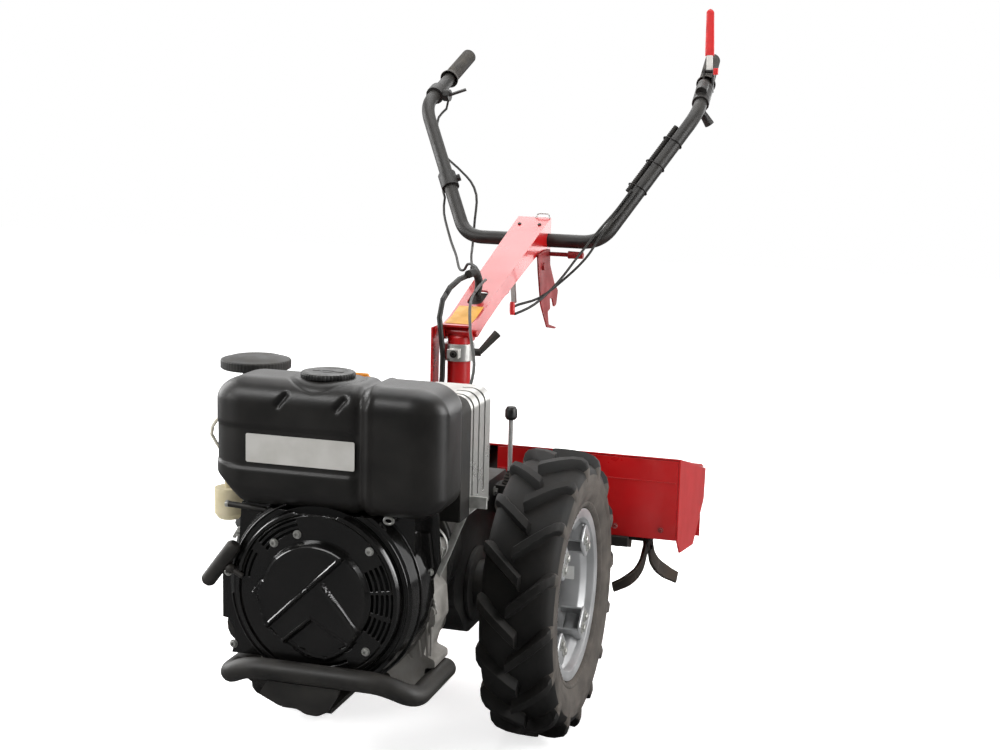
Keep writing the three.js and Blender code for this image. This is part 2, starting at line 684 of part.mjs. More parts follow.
// A point beside the bar's upright run: its share of the run, and its offset from it.
const up = new THREE.Vector3(barBend.half - bar.half, barBend.y - bar.y, barBend.z - bar.z);
function besideBar(sign, share, inward, forward = 0) {
  const along = up.clone().normalize();
  const side = new THREE.Vector3(-1, 0, 0).addScaledVector(along, along.x).normalize();
  const front = along.clone().cross(side).normalize();
  if (front.y > 0) front.negate();
  const point = new THREE.Vector3(bar.half, bar.y, bar.z).addScaledVector(up, share);
  point.addScaledVector(side, inward).addScaledVector(front, forward);
  return [sign * point.x, point.y, point.z];
}

// The same along the bar's handle run, from its bend back to its end.
const back = new THREE.Vector3(barEnd.half - barBend.half, barEnd.y - barBend.y, barEnd.z - barBend.z);
function besideGrip(sign, distance, inward, above = 0) {
  const along = back.clone().normalize();
  const top = new THREE.Vector3(0, 0, 1).addScaledVector(along, -along.z).normalize();
  const side = new THREE.Vector3(-1, 0, 0).addScaledVector(along, along.x).normalize();
  const point = new THREE.Vector3(barBend.half, barBend.y, barBend.z).addScaledVector(along, distance);
  point.addScaledVector(side, inward).addScaledVector(top, above);
  return [sign * point.x, point.y, point.z];
}

const barBore = (barTube + gap) / Math.cos(Math.PI / 24);
const gripBore = (sign, near, far) => rod(barBore, besideGrip(sign, near, 0), besideGrip(sign, far, 0), 24);

// A ring that clamps round the bar, with a lug towards its middle.
function barClamp(sign, from, to, radius, inward) {
  const bore = rod(barBore, besideBar(sign, from - 0.1, 0), besideBar(sign, to + 0.1, 0), 24);
  const ring = rod(radius, besideBar(sign, from, 0), besideBar(sign, to, 0), 16);
  const middle = (from + to) / 2;
  const lug = rod(9, besideBar(sign, middle, barTube + 2), besideBar(sign, middle, inward), 10);
  return join(ring, lug).subtract(bore);
}

function gripRing(sign, near, far, radius) {
  const ring = rod(radius, besideGrip(sign, near, 0), besideGrip(sign, far, 0), 16);
  return ring.subtract(gripBore(sign, near - 9, far + 9));
}

// A flat bar between two points that lie in a plane across the machine.
function strap(from, to, width, thick) {
  const [a, b] = [new THREE.Vector3(...from), new THREE.Vector3(...to)];
  const along = b.clone().sub(a);
  const box = new THREE.BoxGeometry(width, along.length(), thick);
  const turn = new THREE.Quaternion().setFromUnitVectors(new THREE.Vector3(0, 1, 0), along.clone().normalize());
  const place = new THREE.Matrix4().compose(a.add(b).multiplyScalar(0.5), turn, new THREE.Vector3(1, 1, 1));
  return solid(box, place);
}

function controls() {
  node('hook_bracket', hookBracket(), redPaint);
  node('bar_clamp', barClamp(-1, 0.36, 0.46, barTube + 6, barTube + 14), plastic);
  node('throttle_lever', throttleLever(), plastic);
  node('cable_sleeve', rod(7, besideBar(1, 0.36, barTube + 7 + gap), besideBar(1, 0.86, barTube + 7 + gap), 12), rubber);
  node('lever_cluster', leverCluster(), plastic);
  node('clutch_lever', clutchLever(), plastic);
  node('stop_lever', stopLever(), redPaint);
}

// Cables and the hose run free between their two ends.
function cables() {
  const lever = besideGrip(-1, 77, barTube + 12, -21);
  node('throttle_cable', cable([
    lever, [lever[0], lever[1] - 4, lever[2] - 14], [-320, 944, 1178], [-307, 905, 1133], [-275, 868, 1088],
    [-228, 835, 1058], [-185, 805, 1027], [-165, 785, 996], [-158, 752, 938], [-154, 728, 886],
    [-129, 640, 865], [-95, 540, 852], [-68, 460, 848], [-52, 400, 866], [-26, 340, 868],
    [-8, 300, 846], [-4, 276, 822],
  ], 3), rubber);
  node('stop_cable', cable([
    besideBar(-1, 0.3592, -barTube - 4), besideBar(-1, 0.3, -barTube - 5), [-240, 760, 964], [-200, 690, 904],
    [-150, 590, 870], [-112, 500, 850], [-78, 430, 856], [-50, 372, 876], [-14, 322, 872], [4, 298, 846],
    [5, 276, 820],
  ], 3), rubber);
  node('clutch_cable', cable([
    besideBar(1, 0.36, -3, barTube + 3.5), besideBar(1, 0.2, -3, barTube + 3.5), besideBar(1, 0.05, 0, barTube + 8),
    [142, 664, 874], [96, 632, 822], [52, 590, 783], [14, 540, 770], [8, 470, 764], [6, 400, 768],
  ], 3), rubber);
  node('brake_cable', cable([
    besideBar(1, 0.36, 10, barTube + 0.8), besideBar(1, 0.2, 10, barTube + 0.8), besideBar(1, 0.05, 12, barTube + 6),
    [126, 660, 880], [88, 616, 818], [50, 560, 772], [14, 500, 752], [-6, 430, 748], [-8, 370, 752],
  ], 3), rubber);
  node('engine_cables', cable([
    [12, 300, 852], [22, 220, 846], [37, 120, 828], [72, 10, 786], [112, -90, 722], [112, -170, 670],
    [78, -205, 640], [64, -234, 632], [62, -252.2, 632],
  ], 3), rubber);
  node('cable_conduit', cable([
    [-40, 98, gearboxTop + 2 * gap], [-40, 98, 500], [-32, 118, 570], [-25, 132, 660], [-25, 130, 735], [-32, 128, 780],
    [-34, 158, 826], [-24, 214, 856], [-10, 262, 866],
  ], 6), rubber);
  node('fuel_hose', cable([
    [filterCup.x, filterCup.y, 567.6], [filterCup.x - 1, filterCup.y, 579], [filterCup.x - 8, -420, 604], [-260, -436, 640], [-238, -452, 672],
    [-222, -458, 676], [-214, -460, 674], [tank.x[0] - 3 * gap, -460, 673],
  ], 3), creamPlastic);
}

function throttleLever() {
  const ring = gripRing(-1, 62, 92, barTube + 7);
  const body = rod(15, besideGrip(-1, 77, barTube + 4, -4), besideGrip(-1, 77, barTube + 20, -4), 16);
  const tip = strap(besideGrip(-1, 77, barTube + 16, -4), besideGrip(-1, 100, barTube + 56, 4), 12, 5);
  return join(ring, body, tip).subtract(gripBore(-1, 40, 120));
}

function leverCluster() {
  const ring = gripRing(1, 70, 122, barTube + 5);
  const box = rod(14, besideGrip(1, 72, 0, barTube + 6), besideGrip(1, 118, 0, barTube + 6), 12);
  return join(ring, box).subtract(gripBore(1, 60, 150));
}

function clutchLever() {
  const top = besideGrip(1, 59, -4, -barTube - 10);
  const ring = gripRing(1, 52, 68, barTube + 5);
  const root = rod(8, besideGrip(1, 60, 0, -barTube - 1), besideGrip(1, 60, 0, -barTube - 12), 10);
  return join(ring, root, rod(9, top, [360, 986, 1180], 12, 12))
    .subtract(gripBore(1, 46, 75));
}

function stopLever() {
  const ring = gripRing(1, 124, 144, barTube + 5);
  const post = strap(besideGrip(1, 134, 0, barTube + 1), [339, 1068, 1345], 16, 6);
  const blade = strap([339, 1068, 1335], [333, 1084, 1459], 22, 6);
  return join(ring, post, blade).subtract(gripBore(1, 110, 160));
}

// ---- Rotary tiller --------------------------------------------------------
const hoodFall = (hoodTopFront - hoodRear.z) / (hoodRear.y - hoodFront);
const hoodTopAt = (y) => hoodTopFront - hoodFall * (y - hoodFront);

function tillerCasing() {
  const floor = rotor.z - 46;
  const roof = (y) => hoodTopAt(y) - hoodSheet - 2 * gap;
  const start = outputRear + gap;
  const profile = [
    [start, outputZ - 48], [420, floor + 8], [rotor.y - 40, floor], [rotor.y + 40, floor],
    [skidY[0] - gap, rotor.z - 10], [skidY[0] - gap, 356], [540, roof(540)], [440, roof(440)],
    [400, outputZ + 60], [start, outputZ + 48],
  ];
  const body = extrude('X', outline(profile, 6), [-casingHalf, casingHalf]);
  const bore = rod(rotor.shaft + running, [-60, rotor.y, rotor.z], [60, rotor.y, rotor.z], 24);
  return body.subtract(bore);
}

// One tine is a flat bar that leaves the flange and bends sideways into a blade.
function tine(x, toward, turn) {
  const tip = rotor.radius - 5;
  const half = tineWidth / 2;
  const outline3 = [
    [x - toward * tineSheet / 2, 20], [x + toward * tineSheet / 2, 20],
    [x + toward * tineSheet / 2, tip - 52], [x + toward * tineReach, tip - 6],
    [x + toward * (tineReach - 4), tip], [x - toward * tineSheet / 2, tip - 46],
  ];
  const bent = extrude('Y', outline(outline3), [-half, half]);
  const spin = shift(0, rotor.y, rotor.z).multiply(new THREE.Matrix4().makeRotationX(turn));
  return bent.transform(spin.toArray());
}

function tineRotor() {
  const reach = flangeX.at(-1) + tineSheet;
  let whole = rod(rotor.shaft, [-reach, rotor.y, rotor.z], [reach, rotor.y, rotor.z], 12);
  for (const [, sign] of sides) {
    flangeX.forEach((offset, i) => {
      const x = sign * offset;
      whole = whole.add(rod(rotor.flange, [x - 6, rotor.y, rotor.z], [x + 6, rotor.y, rotor.z], 12));
      for (let k = 0; k < 4; k += 1) {
        const turn = (k * Math.PI) / 2 + ((2 - i) * Math.PI) / 6 + tinePhase;
        whole = whole.add(tine(x, k % 2 ? -1 : 1, turn));
      }
    });
  }
  return whole;
}

function hood() {
  const inner = hoodHalf - hoodSheet - gap;
  const frontTop = hoodTopAt(hoodFront + hoodSheet) - hoodSheet - gap;
  for (const [side, sign] of sides) {
    const y = [hoodFront, hoodFront + hoodSheet];
    node(`hood_front_${side}`, block(span(sign, casingHalf + 4, inner), y, [hoodBottom, frontTop]), redPaint);
    const plate = outline([
      [hoodFront, hoodBottom], [391, 273], [557, 249], [683, 326],
      [hoodRear.y, hoodRear.z - 6], [hoodFront, hoodTopFront],
    ]);
    node(`side_plate_${side}`, extrude('X', plate, span(sign, hoodHalf - hoodSheet, hoodHalf)), redPaint);
  }
  const rear = hoodRear.y - 4;
  const top = outline([
    [hoodFront, hoodTopFront - hoodSheet], [hoodFront, hoodTopFront],
    [rear, hoodTopAt(rear)], [rear, hoodTopAt(rear) - hoodSheet],
  ]);
  node('hood_top', extrude('X', top, [-inner, inner]), redPaint);
  const beamY = [hoodFront - 8, hoodFront + 9];
  for (const [side, sign] of sides) {
    const reach = span(sign, casingHalf + gap, 330);
    node(`hood_beam_${side}`, block(reach, beamY, [hoodBottom - 22, hoodBottom - gap]), satinBlack);
  }
}

function rearFlap() {
  const hinge = [hoodRear.y - 4 + flapKnuckle + gap, hoodTopAt(hoodRear.y) - 2];
  const half = hoodHalf - 9.5;
  const knuckle = rod(flapKnuckle, [-half, ...hinge], [half, ...hinge], 12);
  const sheet = 3;
  const low = hinge[1] - flapLength;
  const plate = outline([
    [hinge[0] + 1, hinge[1]], [hinge[0] + 1 + sheet, hinge[1]],
    [hinge[0] + 5 + sheet, hinge[1] - flapLength * 0.6], [hinge[0] + 6 + sheet, low],
    [hinge[0] + 6, low], [hinge[0] + 5, hinge[1] - flapLength * 0.6],
  ]);
  return join(knuckle, extrude('X', plate, [-half, half]));
}

function depthSkid() {
  const stem = block([-skidHalf, skidHalf], skidY, [6, 372]);
  const shoe = outline([[540, 30], [575, 8], [600, 0], [640, 0], [670, 14], [670, 24], [638, 11], [602, 11], [580, 18], [546, 38]]);
  return join(stem, extrude('X', shoe, [-24, 24]));
}

wheels();
node('gearbox', gearbox(), satinBlack);
node('clutch_housing', clutchHousing(), satinBlack);
gearLever();
engine();
airCleaner();
exhaust();
bumper();
column();
node('handlebar_arm', handlebarArm(), redPaint);
handlebar();
controls();
cables();
node('tiller_casing', tillerCasing(), satinBlack);
node('tine_rotor', tineRotor(), darkSteel);
hood();
node('rear_flap', rearFlap(), redPaint);
node('depth_skid', depthSkid(), satinBlack);

const box = new THREE.Box3().setFromObject(machine);
const middle = box.getCenter(new THREE.Vector3());
machine.position.set(-middle.x, -middle.y, -box.min.z);

export default machine;
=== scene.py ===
import json
import math

import bmesh
import bpy
import numpy as np
from mathutils import Matrix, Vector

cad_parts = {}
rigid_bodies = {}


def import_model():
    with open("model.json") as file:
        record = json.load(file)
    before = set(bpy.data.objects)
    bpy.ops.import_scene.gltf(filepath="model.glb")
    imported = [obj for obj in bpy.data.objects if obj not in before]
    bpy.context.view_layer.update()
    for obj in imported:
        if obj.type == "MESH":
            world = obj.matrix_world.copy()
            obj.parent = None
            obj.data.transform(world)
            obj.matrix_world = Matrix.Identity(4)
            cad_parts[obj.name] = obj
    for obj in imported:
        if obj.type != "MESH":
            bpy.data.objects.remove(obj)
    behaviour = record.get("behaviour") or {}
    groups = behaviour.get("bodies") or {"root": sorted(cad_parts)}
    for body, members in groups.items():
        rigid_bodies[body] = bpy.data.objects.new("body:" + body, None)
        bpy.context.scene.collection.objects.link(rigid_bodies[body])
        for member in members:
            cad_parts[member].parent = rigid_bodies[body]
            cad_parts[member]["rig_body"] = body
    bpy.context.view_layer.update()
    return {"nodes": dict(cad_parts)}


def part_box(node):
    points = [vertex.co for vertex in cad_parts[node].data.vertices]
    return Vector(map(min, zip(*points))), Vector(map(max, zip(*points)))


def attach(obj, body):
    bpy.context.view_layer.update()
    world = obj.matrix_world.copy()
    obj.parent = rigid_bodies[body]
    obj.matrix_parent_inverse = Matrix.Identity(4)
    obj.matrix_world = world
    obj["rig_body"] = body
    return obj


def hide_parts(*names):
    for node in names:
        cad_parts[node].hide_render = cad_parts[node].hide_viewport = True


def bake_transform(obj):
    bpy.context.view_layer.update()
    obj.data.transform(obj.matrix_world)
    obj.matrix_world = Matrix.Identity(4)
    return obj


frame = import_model()

# ---- Camera ----------------------------------------------------------------
# It stands in front of the engine, a little to the machine's left and just
# above the tank, and looks slightly down along the tractor.
camera_place = (1.017, -3.273, 1.2385)
camera_yaw, camera_pitch, camera_roll = 16.5, -9.8, 1.4
camera_data = bpy.data.cameras.new("camera")
camera_data.lens = 58.35
camera_data.sensor_width = 36.0
camera = bpy.data.objects.new("camera", camera_data)
bpy.context.scene.collection.objects.link(camera)
camera.matrix_world = (
    Matrix.Translation(camera_place)
    @ Matrix.Rotation(math.radians(camera_yaw), 4, "Z")
    @ Matrix.Rotation(math.radians(90 + camera_pitch), 4, "X")
    @ Matrix.Rotation(math.radians(camera_roll), 4, "Z")
)
bpy.context.scene.camera = camera
bpy.context.scene.view_settings.view_transform = "Standard"

# ---- Studio ----------------------------------------------------------------
# A matt white floor under a white sky, and seven soft lamps: one high and one
# low in front, one at each side, one overhead and two behind.
def tone(code):
    """The linear colour of a six-digit sRGB code."""
    parts = np.array([int(code[i:i + 2], 16) for i in (1, 3, 5)]) / 255
    linear = np.where(parts <= 0.04045, parts / 12.92, ((parts + 0.055) / 1.055) ** 2.4)
    return (*linear.tolist(), 1.0)


def fill(node, **values):
    """Sets a node's own inputs; an underscore in a name stands for a space."""
    for label, value in values.items():
        node.inputs[label.replace("_", " ")].default_value = value


white = (1, 1, 1, 1)
floor_half = 9.0
floor_glow = 0.68             # added for the camera alone
floor_tone, mirrored_tone = 0.93, 0.1
floor_mesh = bpy.data.meshes.new("floor")
corners = [(-floor_half, -floor_half, 0), (floor_half, -floor_half, 0),
           (floor_half, floor_half, 0), (-floor_half, floor_half, 0)]
floor_mesh.from_pydata(corners, [], [(0, 1, 2, 3)])
floor = bpy.data.objects.new("floor", floor_mesh)
bpy.context.scene.collection.objects.link(floor)
floor_paint = bpy.data.materials.new("floor_paint")
floor_paint.use_nodes = True
nodes, links = floor_paint.node_tree.nodes, floor_paint.node_tree.links
shader = nodes["Principled BSDF"]
fill(shader, Roughness=0.9, Specular_IOR_Level=0.0, Emission_Color=white)
rays = nodes.new("ShaderNodeLightPath")
seen = nodes.new("ShaderNodeMath")
seen.operation = "MULTIPLY"
seen.inputs[1].default_value = floor_glow
links.new(rays.outputs["Is Camera Ray"], seen.inputs[0])
links.new(seen.outputs[0], shader.inputs["Emission Strength"])
# The floor looks pale, yet what it mirrors into the black paint stays dark.
pale = nodes.new("ShaderNodeMapRange")
fill(pale, To_Min=floor_tone, To_Max=mirrored_tone)
links.new(rays.outputs["Is Glossy Ray"], pale.inputs["Value"])
links.new(pale.outputs["Result"], shader.inputs["Base Color"])
floor.data.materials.append(floor_paint)

world = bpy.data.worlds.new("studio")
bpy.context.scene.world = world
world.use_nodes = True
nodes, links = world.node_tree.nodes, world.node_tree.links
nodes.clear()
rays = nodes.new("ShaderNodeLightPath")
seen = nodes.new("ShaderNodeMath")
seen.operation = "MAXIMUM"
links.new(rays.outputs["Is Camera Ray"], seen.inputs[0])
links.new(rays.outputs["Is Transmission Ray"], seen.inputs[1])
# What is reflected and what lights the machine is pale behind it and dim in front.
where = nodes.new("ShaderNodeTexCoord")
split = nodes.new("ShaderNodeSeparateXYZ")
links.new(where.outputs["Generated"], split.inputs[0])
falloff = nodes.new("ShaderNodeMapRange")
falloff.interpolation_type = "SMOOTHSTEP"
fill(falloff, From_Min=-0.35, From_Max=0.85, To_Min=0.13, To_Max=0.95)
links.new(split.outputs["Y"], falloff.inputs["Value"])
room = nodes.new("ShaderNodeBackground")
fill(room, Color=white)
links.new(falloff.outputs["Result"], room.inputs["Strength"])
sky = nodes.new("ShaderNodeBackground")
fill(sky, Color=white, Strength=1.0)
blend = nodes.new("ShaderNodeMixShader")
links.new(seen.outputs[0], blend.inputs[0])
links.new(room.outputs[0], blend.inputs[1])
links.new(sky.outputs[0], blend.inputs[2])
output = nodes.new("ShaderNodeOutputWorld")
links.new(blend.outputs[0], output.inputs["Surface"])


def soft_lamp(name, place, aim, size, power):
    """A square area lamp at a place, turned to face the point it is aimed at."""
    data = bpy.data.lights.new(name, "AREA")
    data.shape = "RECTANGLE"
    data.size, data.size_y = size
    data.energy = power
    lamp = bpy.data.objects.new(name, data)
    bpy.context.scene.collection.objects.link(lamp)
    toward = np.array(aim, float) - np.array(place, float)
    back = -toward / np.linalg.norm(toward)
    side = np.cross((0, 0, 1), back)
    side = side / np.linalg.norm(side)
    top = np.cross(back, side)
    turn = Matrix(np.column_stack([side, top, back]).tolist()).to_4x4()
    lamp.matrix_world = Matrix.Translation(place) @ turn


soft_lamp("lamp_front", (-1.9, -3.2, 3.0), (0, 0, 0.6), (1.4, 1.0), 55)
soft_lamp("lamp_left", (3.2, -0.3, 1.5), (0, -0.2, 0.6), (1.8, 2.4), 85)
soft_lamp("lamp_right", (-3.0, 0.3, 1.6), (0, -0.2, 0.6), (1.8, 2.4), 80)
soft_lamp("lamp_top", (0, 0.2, 3.8), (0, 0.21, 0), (2.6, 2.6), 60)
soft_lamp("lamp_back_top", (-0.7, 2.9, 3.2), (0, 0.2, 0.8), (2.6, 2.0), 40)
soft_lamp("lamp_back_left", (1.3, 3.4, 0.9), (0.4, 0.2, 0.4), (1.8, 1.4), 18)
soft_lamp("lamp_front_right", (-3.0, -2.7, 1.3), (0, -0.8, 0.45), (0.5, 1.0), 22)

# ---- Wheels ----------------------------------------------------------------
# Moulded rubber drive tyres: a rounded carcass whose high bars run from both
# shoulders to its middle and point forwards. Each sits on a turned, silver
# painted rim with welded lugs, bolted to a pressed disc with four arms.
MM = 0.001
tyre_low, tyre_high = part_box("tyre_left")
axle_y = (tyre_low.y + tyre_high.y) / 2 / MM
axle_z = (tyre_low.z + tyre_high.z) / 2 / MM
wheel_x = (tyre_low.x + tyre_high.x) / 2 / MM
carcass_side = [
    (152.5, 51.4), (168.6, 51.4), (170.5, 55.5), (173, 60.5), (177, 63.2), (180, 63.8), (182.5, 62.6),
    (185.5, 64.2), (190, 66.2), (200, 69), (208, 70.6), (211, 70.2), (214, 71.4), (225, 71.7), (236, 70.4),
    (246, 66.5), (253, 58), (257, 46), (259, 30), (260, 12),
]
lug_count = 16                # on each shoulder
lug_sweep = 0.25              # turn from shoulder to middle
lug_radius = 270.0            # where the bar's width is measured
bead_ribs, rib_height = 60, 0.9
lug_crest = [(228, 71.9), (240, 72.4), (254, 71.6), (266, 68), (274, 60), (278.5, 44), (280.5, 24), (281, 4),
             (281, -9)]
lug_root = [(226, 67), (238, 66), (246, 62), (251, 55), (254, 48), (256, 38), (257, 22), (257, 4), (257, -9)]
rim_half_profile = [
    (165.5, 57), (168.2, 55.8), (168.4, 53.6), (166.5, 52), (155, 51.6), (152.2, 50), (151.6, 38.5),
    (149, 36), (136.5, 29.6), (134, 26),
]
rim_inner_profile = [(130, 28), (133.5, 32.2), (146, 38.6), (147.8, 41), (148.6, 51), (151, 54.5), (160, 56)]


def frame_points(points):
    """Millimetres from the floor under the middle of the axle, as metres in the shared frame."""
    return (np.asarray(points, float) + [0, axle_y, 0]) * MM


def grid_faces(rows, columns, close_rows=False, close_columns=True, start=0):
    """Quads between the neighbouring points of a grid numbered row by row."""
    r, c = np.meshgrid(
        np.arange(rows if close_rows else rows - 1),
        np.arange(columns if close_columns else columns - 1), indexing="ij")
    below, beside = (r + 1) % rows, (c + 1) % columns
    quads = [r * columns + c, r * columns + beside, below * columns + beside, below * columns + c]
    return start + np.stack(quads, -1).reshape(-1, 4)


def tube_faces(rows, sides):
    """The quads of a tube whose rings are numbered one after the other, and a flat face at each end."""
    last = (rows - 1) * sides
    return [*grid_faces(rows, sides), range(sides), range(last, last + sides)]


def joined(*shapes):
    """Several (points, faces) pairs as one pair."""
    starts = np.cumsum([0] + [len(points) for points, _ in shapes[:-1]])
    faces = [np.asarray(face) + start for (_, group), start in zip(shapes, starts) for face in group]
    return np.concatenate([points for points, _ in shapes]), faces


def ring_of(count, radius, centre, axis="Y", start=0.0):
    """Points at even turns on a circle square to the axis."""
    turn = start + np.arange(count) * 2 * np.pi / count
    a, b = radius * np.cos(turn), radius * np.sin(turn)
    flat = np.zeros(count)
    order = {"X": (flat, a, b), "Y": (a, flat, b), "Z": (a, b, flat)}[axis]
    return np.stack(order, -1) + centre


def turned(profile, axis, centre, sides=96, closed=True):
    """A profile of (radius, distance along the axis) carried round the axis through the centre."""
    profile = np.asarray(profile, float)
    angle = np.arange(sides) * 2 * np.pi / sides
    radius, along = profile[:, :1], np.repeat(profile[:, 1:], sides, axis=1)
    across, up = radius * np.cos(angle), radius * np.sin(angle)
    order = {"X": (along, across, up), "Y": (across, along, up), "Z": (across, up, along)}[axis]
    points = np.stack(order, -1).reshape(-1, 3) + centre
    return points, grid_faces(len(profile), sides, close_rows=closed)


def add_piece(name, shape, material, body, stands_for=(), crease=38, marks=None, subdivide=0):
    """A mesh from (points, faces): doubles merged, faces turned outwards, smooth below the crease angle."""
    points, faces = shape
    mesh = bpy.data.meshes.new(name)
    mesh.from_pydata(frame_points(points).tolist(), [], [list(map(int, face)) for face in faces])
    materials = material if isinstance(material, list) else [material]
    for one in materials:
        mesh.materials.append(one)
    if marks is not None:
        mesh.polygons.foreach_set("material_index", np.asarray(marks, np.int32))
    clean = bmesh.new()
    clean.from_mesh(mesh)
    bmesh.ops.remove_doubles(clean, verts=clean.verts, dist=1e-6)
    bmesh.ops.recalc_face_normals(clean, faces=clean.faces)
    clean.to_mesh(mesh)
    clean.free()
    mesh.polygons.foreach_set("use_smooth", np.ones(len(mesh.polygons), bool))
    mesh.set_sharp_from_angle(angle=math.radians(crease))
    piece = bpy.data.objects.new(name, mesh)
    bpy.context.scene.collection.objects.link(piece)
    if subdivide:
        smooth = piece.modifiers.new("smooth", "SUBSURF")
        smooth.levels = smooth.render_levels = subdivide
    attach(piece, body)
    if stands_for:
        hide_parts(*stands_for)
    return piece


def effect_group(name, inputs, outputs):
    """An empty shader node group with the named value inputs and outputs."""
    group = bpy.data.node_groups.new(name, "ShaderNodeTree")
    for label, default in inputs:
        socket = group.interface.new_socket(label, in_out="INPUT", socket_type="NodeSocketFloat")
        socket.default_value = default
    for label in outputs:
        group.interface.new_socket(label, in_out="OUTPUT", socket_type="NodeSocketFloat")
    return group, group.nodes.new("NodeGroupInput"), group.nodes.new("NodeGroupOutput")


def math_node(tree, operation, first, second, clamp=False):
    """One Math node; each operand is a number or a socket."""
    node = tree.nodes.new("ShaderNodeMath")
    node.operation = operation
    node.use_clamp = clamp
    for socket, value in zip(node.inputs, (first, second)):
        if isinstance(value, (int, float)):
            socket.default_value = value
        else:
            tree.links.new(value, socket)
    return node.outputs[0]


def noise_of(tree, scale, detail):
    """Noise over the object's own coordinates, at a scale given by a socket."""
    where = tree.nodes.new("ShaderNodeTexCoord")
    noise = tree.nodes.new("ShaderNodeTexNoise")
    fill(noise, Detail=detail)
    tree.links.new(where.outputs["Object"], noise.inputs["Vector"])
    tree.links.new(scale, noise.inputs["Scale"])
    return noise.outputs["Fac"]


# Broad uneven tone and fine grain, both from noise.
play, play_in, play_out = effect_group("surface_play", [("Broad", 9.0), ("Fine", 700.0)], ["Tone", "Grain"])
broad = noise_of(play, play_in.outputs["Broad"], 5.0)
spread = math_node(play, "MULTIPLY", math_node(play, "SUBTRACT", broad, 0.36), 3.6, clamp=True)
play.links.new(spread, play_out.inputs["Tone"])
play.links.new(noise_of(play, play_in.outputs["Fine"], 3.0), play_out.inputs["Grain"])

# Dust lies where a surface looks up, in uneven patches.
dust, dust_in, dust_out = effect_group("settled_dust", [("Scale", 30.0), ("Amount", 0.3)], ["Mask"])
patches = math_node(dust, "MULTIPLY",
                    math_node(dust, "SUBTRACT", noise_of(dust, dust_in.outputs["Scale"], 6.0), 0.3), 2.2,
                    True)
face = dust.nodes.new("ShaderNodeNewGeometry")
parts = dust.nodes.new("ShaderNodeSeparateXYZ")
dust.links.new(face.outputs["Normal"], parts.inputs[0])
lies = math_node(dust, "ADD", math_node(dust, "MULTIPLY", parts.outputs["Z"], 0.7), 0.3, clamp=True)
mask = math_node(dust, "MULTIPLY", math_node(dust, "MULTIPLY", lies, patches), dust_in.outputs["Amount"],
                 clamp=True)
dust.links.new(mask, dust_out.inputs["Mask"])

# Edges catch wear, and on the black enamel a painted highlight: there the bevelled normal turns away from the
# face's own.
wear_and_sheen_group, wear_and_sheen_in, wear_and_sheen_out = effect_group("edge_wear_and_sheen", [("Scale", 60.0), ("Amount", 0.5)], ["Mask"])
soft = wear_and_sheen_group.nodes.new("ShaderNodeBevel")
soft.samples = 3
fill(soft, Radius=0.0016)
flat = wear_and_sheen_group.nodes.new("ShaderNodeNewGeometry")
turn = wear_and_sheen_group.nodes.new("ShaderNodeVectorMath")
turn.operation = "DOT_PRODUCT"
wear_and_sheen_group.links.new(soft.outputs["Normal"], turn.inputs[0])
wear_and_sheen_group.links.new(flat.outputs["Normal"], turn.inputs[1])
away = math_node(wear_and_sheen_group, "MULTIPLY", math_node(wear_and_sheen_group, "SUBTRACT", 1.0, turn.outputs["Value"]), 7.0, clamp=True)
edge_patches = math_node(wear_and_sheen_group, "MULTIPLY",
                   math_node(wear_and_sheen_group, "SUBTRACT", noise_of(wear_and_sheen_group, wear_and_sheen_in.outputs["Scale"], 4.0), 0.38), 4.0,
                   True)
mask = math_node(wear_and_sheen_group, "MULTIPLY", math_node(wear_and_sheen_group, "MULTIPLY", away, edge_patches), wear_and_sheen_in.outputs["Amount"],
                 clamp=True)
wear_and_sheen_group.links.new(mask, wear_and_sheen_out.inputs["Mask"])


def mixed(tree, mask, first, second):
    """A colour mix whose factor is a mask socket; each colour is a code or a socket."""
    node = tree.nodes.new("ShaderNodeMix")
    node.data_type = "RGBA"
    tree.links.new(mask, node.inputs["Factor"])
    for socket, colour in ((node.inputs["A"], first), (node.inputs["B"], second)):
        if isinstance(colour, str):
            socket.default_value = tone(colour)
        else:
            tree.links.new(colour, socket)
    return node.outputs["Result"]


def finish(name, colour, second, roughness, metallic=0.0, broad=9.0, fine=700.0, grain=0.00006,
           dusty=("#8f8778", 0.1), worn_and_sheen=None, coat=0.0, gloss=0.5, play_by=0.12):
    """A surface of two close tones with grain, settled dust and, where it is given, tinted edges: wear, and
    on the black enamel a painted highlight.
    grain is the bump's depth in metres, gloss the shader's specular level."""
    material = bpy.data.materials.new(name)
    material.use_nodes = True
    tree = material.node_tree
    shader = tree.nodes["Principled BSDF"]
    surface = tree.nodes.new("ShaderNodeGroup")
    surface.node_tree = play
    fill(surface, Broad=broad, Fine=fine)
    base = mixed(tree, surface.outputs["Tone"], colour, second)
    rough = math_node(tree, "ADD", math_node(tree, "MULTIPLY", surface.outputs["Tone"], play_by), roughness)
    if worn_and_sheen:
        edge = tree.nodes.new("ShaderNodeGroup")
        edge.node_tree = wear_and_sheen_group
        fill(edge, Amount=worn_and_sheen[1])
        base = mixed(tree, edge.outputs["Mask"], base, worn_and_sheen[0])
    if dusty:
        settled = tree.nodes.new("ShaderNodeGroup")
        settled.node_tree = dust
        fill(settled, Amount=dusty[1])
        base = mixed(tree, settled.outputs["Mask"], base, dusty[0])
        rough = math_node(tree, "ADD", math_node(tree, "MULTIPLY", settled.outputs["Mask"], 0.5), rough,
                          clamp=True)
    tree.links.new(base, shader.inputs["Base Color"])
    tree.links.new(rough, shader.inputs["Roughness"])
    relief = tree.nodes.new("ShaderNodeBump")
    fill(relief, Strength=1.0, Distance=grain)
    tree.links.new(surface.outputs["Grain"], relief.inputs["Height"])
    tree.links.new(relief.outputs["Normal"], shader.inputs["Normal"])
    fill(shader, Metallic=metallic, Coat_Weight=coat, Coat_Roughness=0.06, Specular_IOR_Level=gloss)
    return material


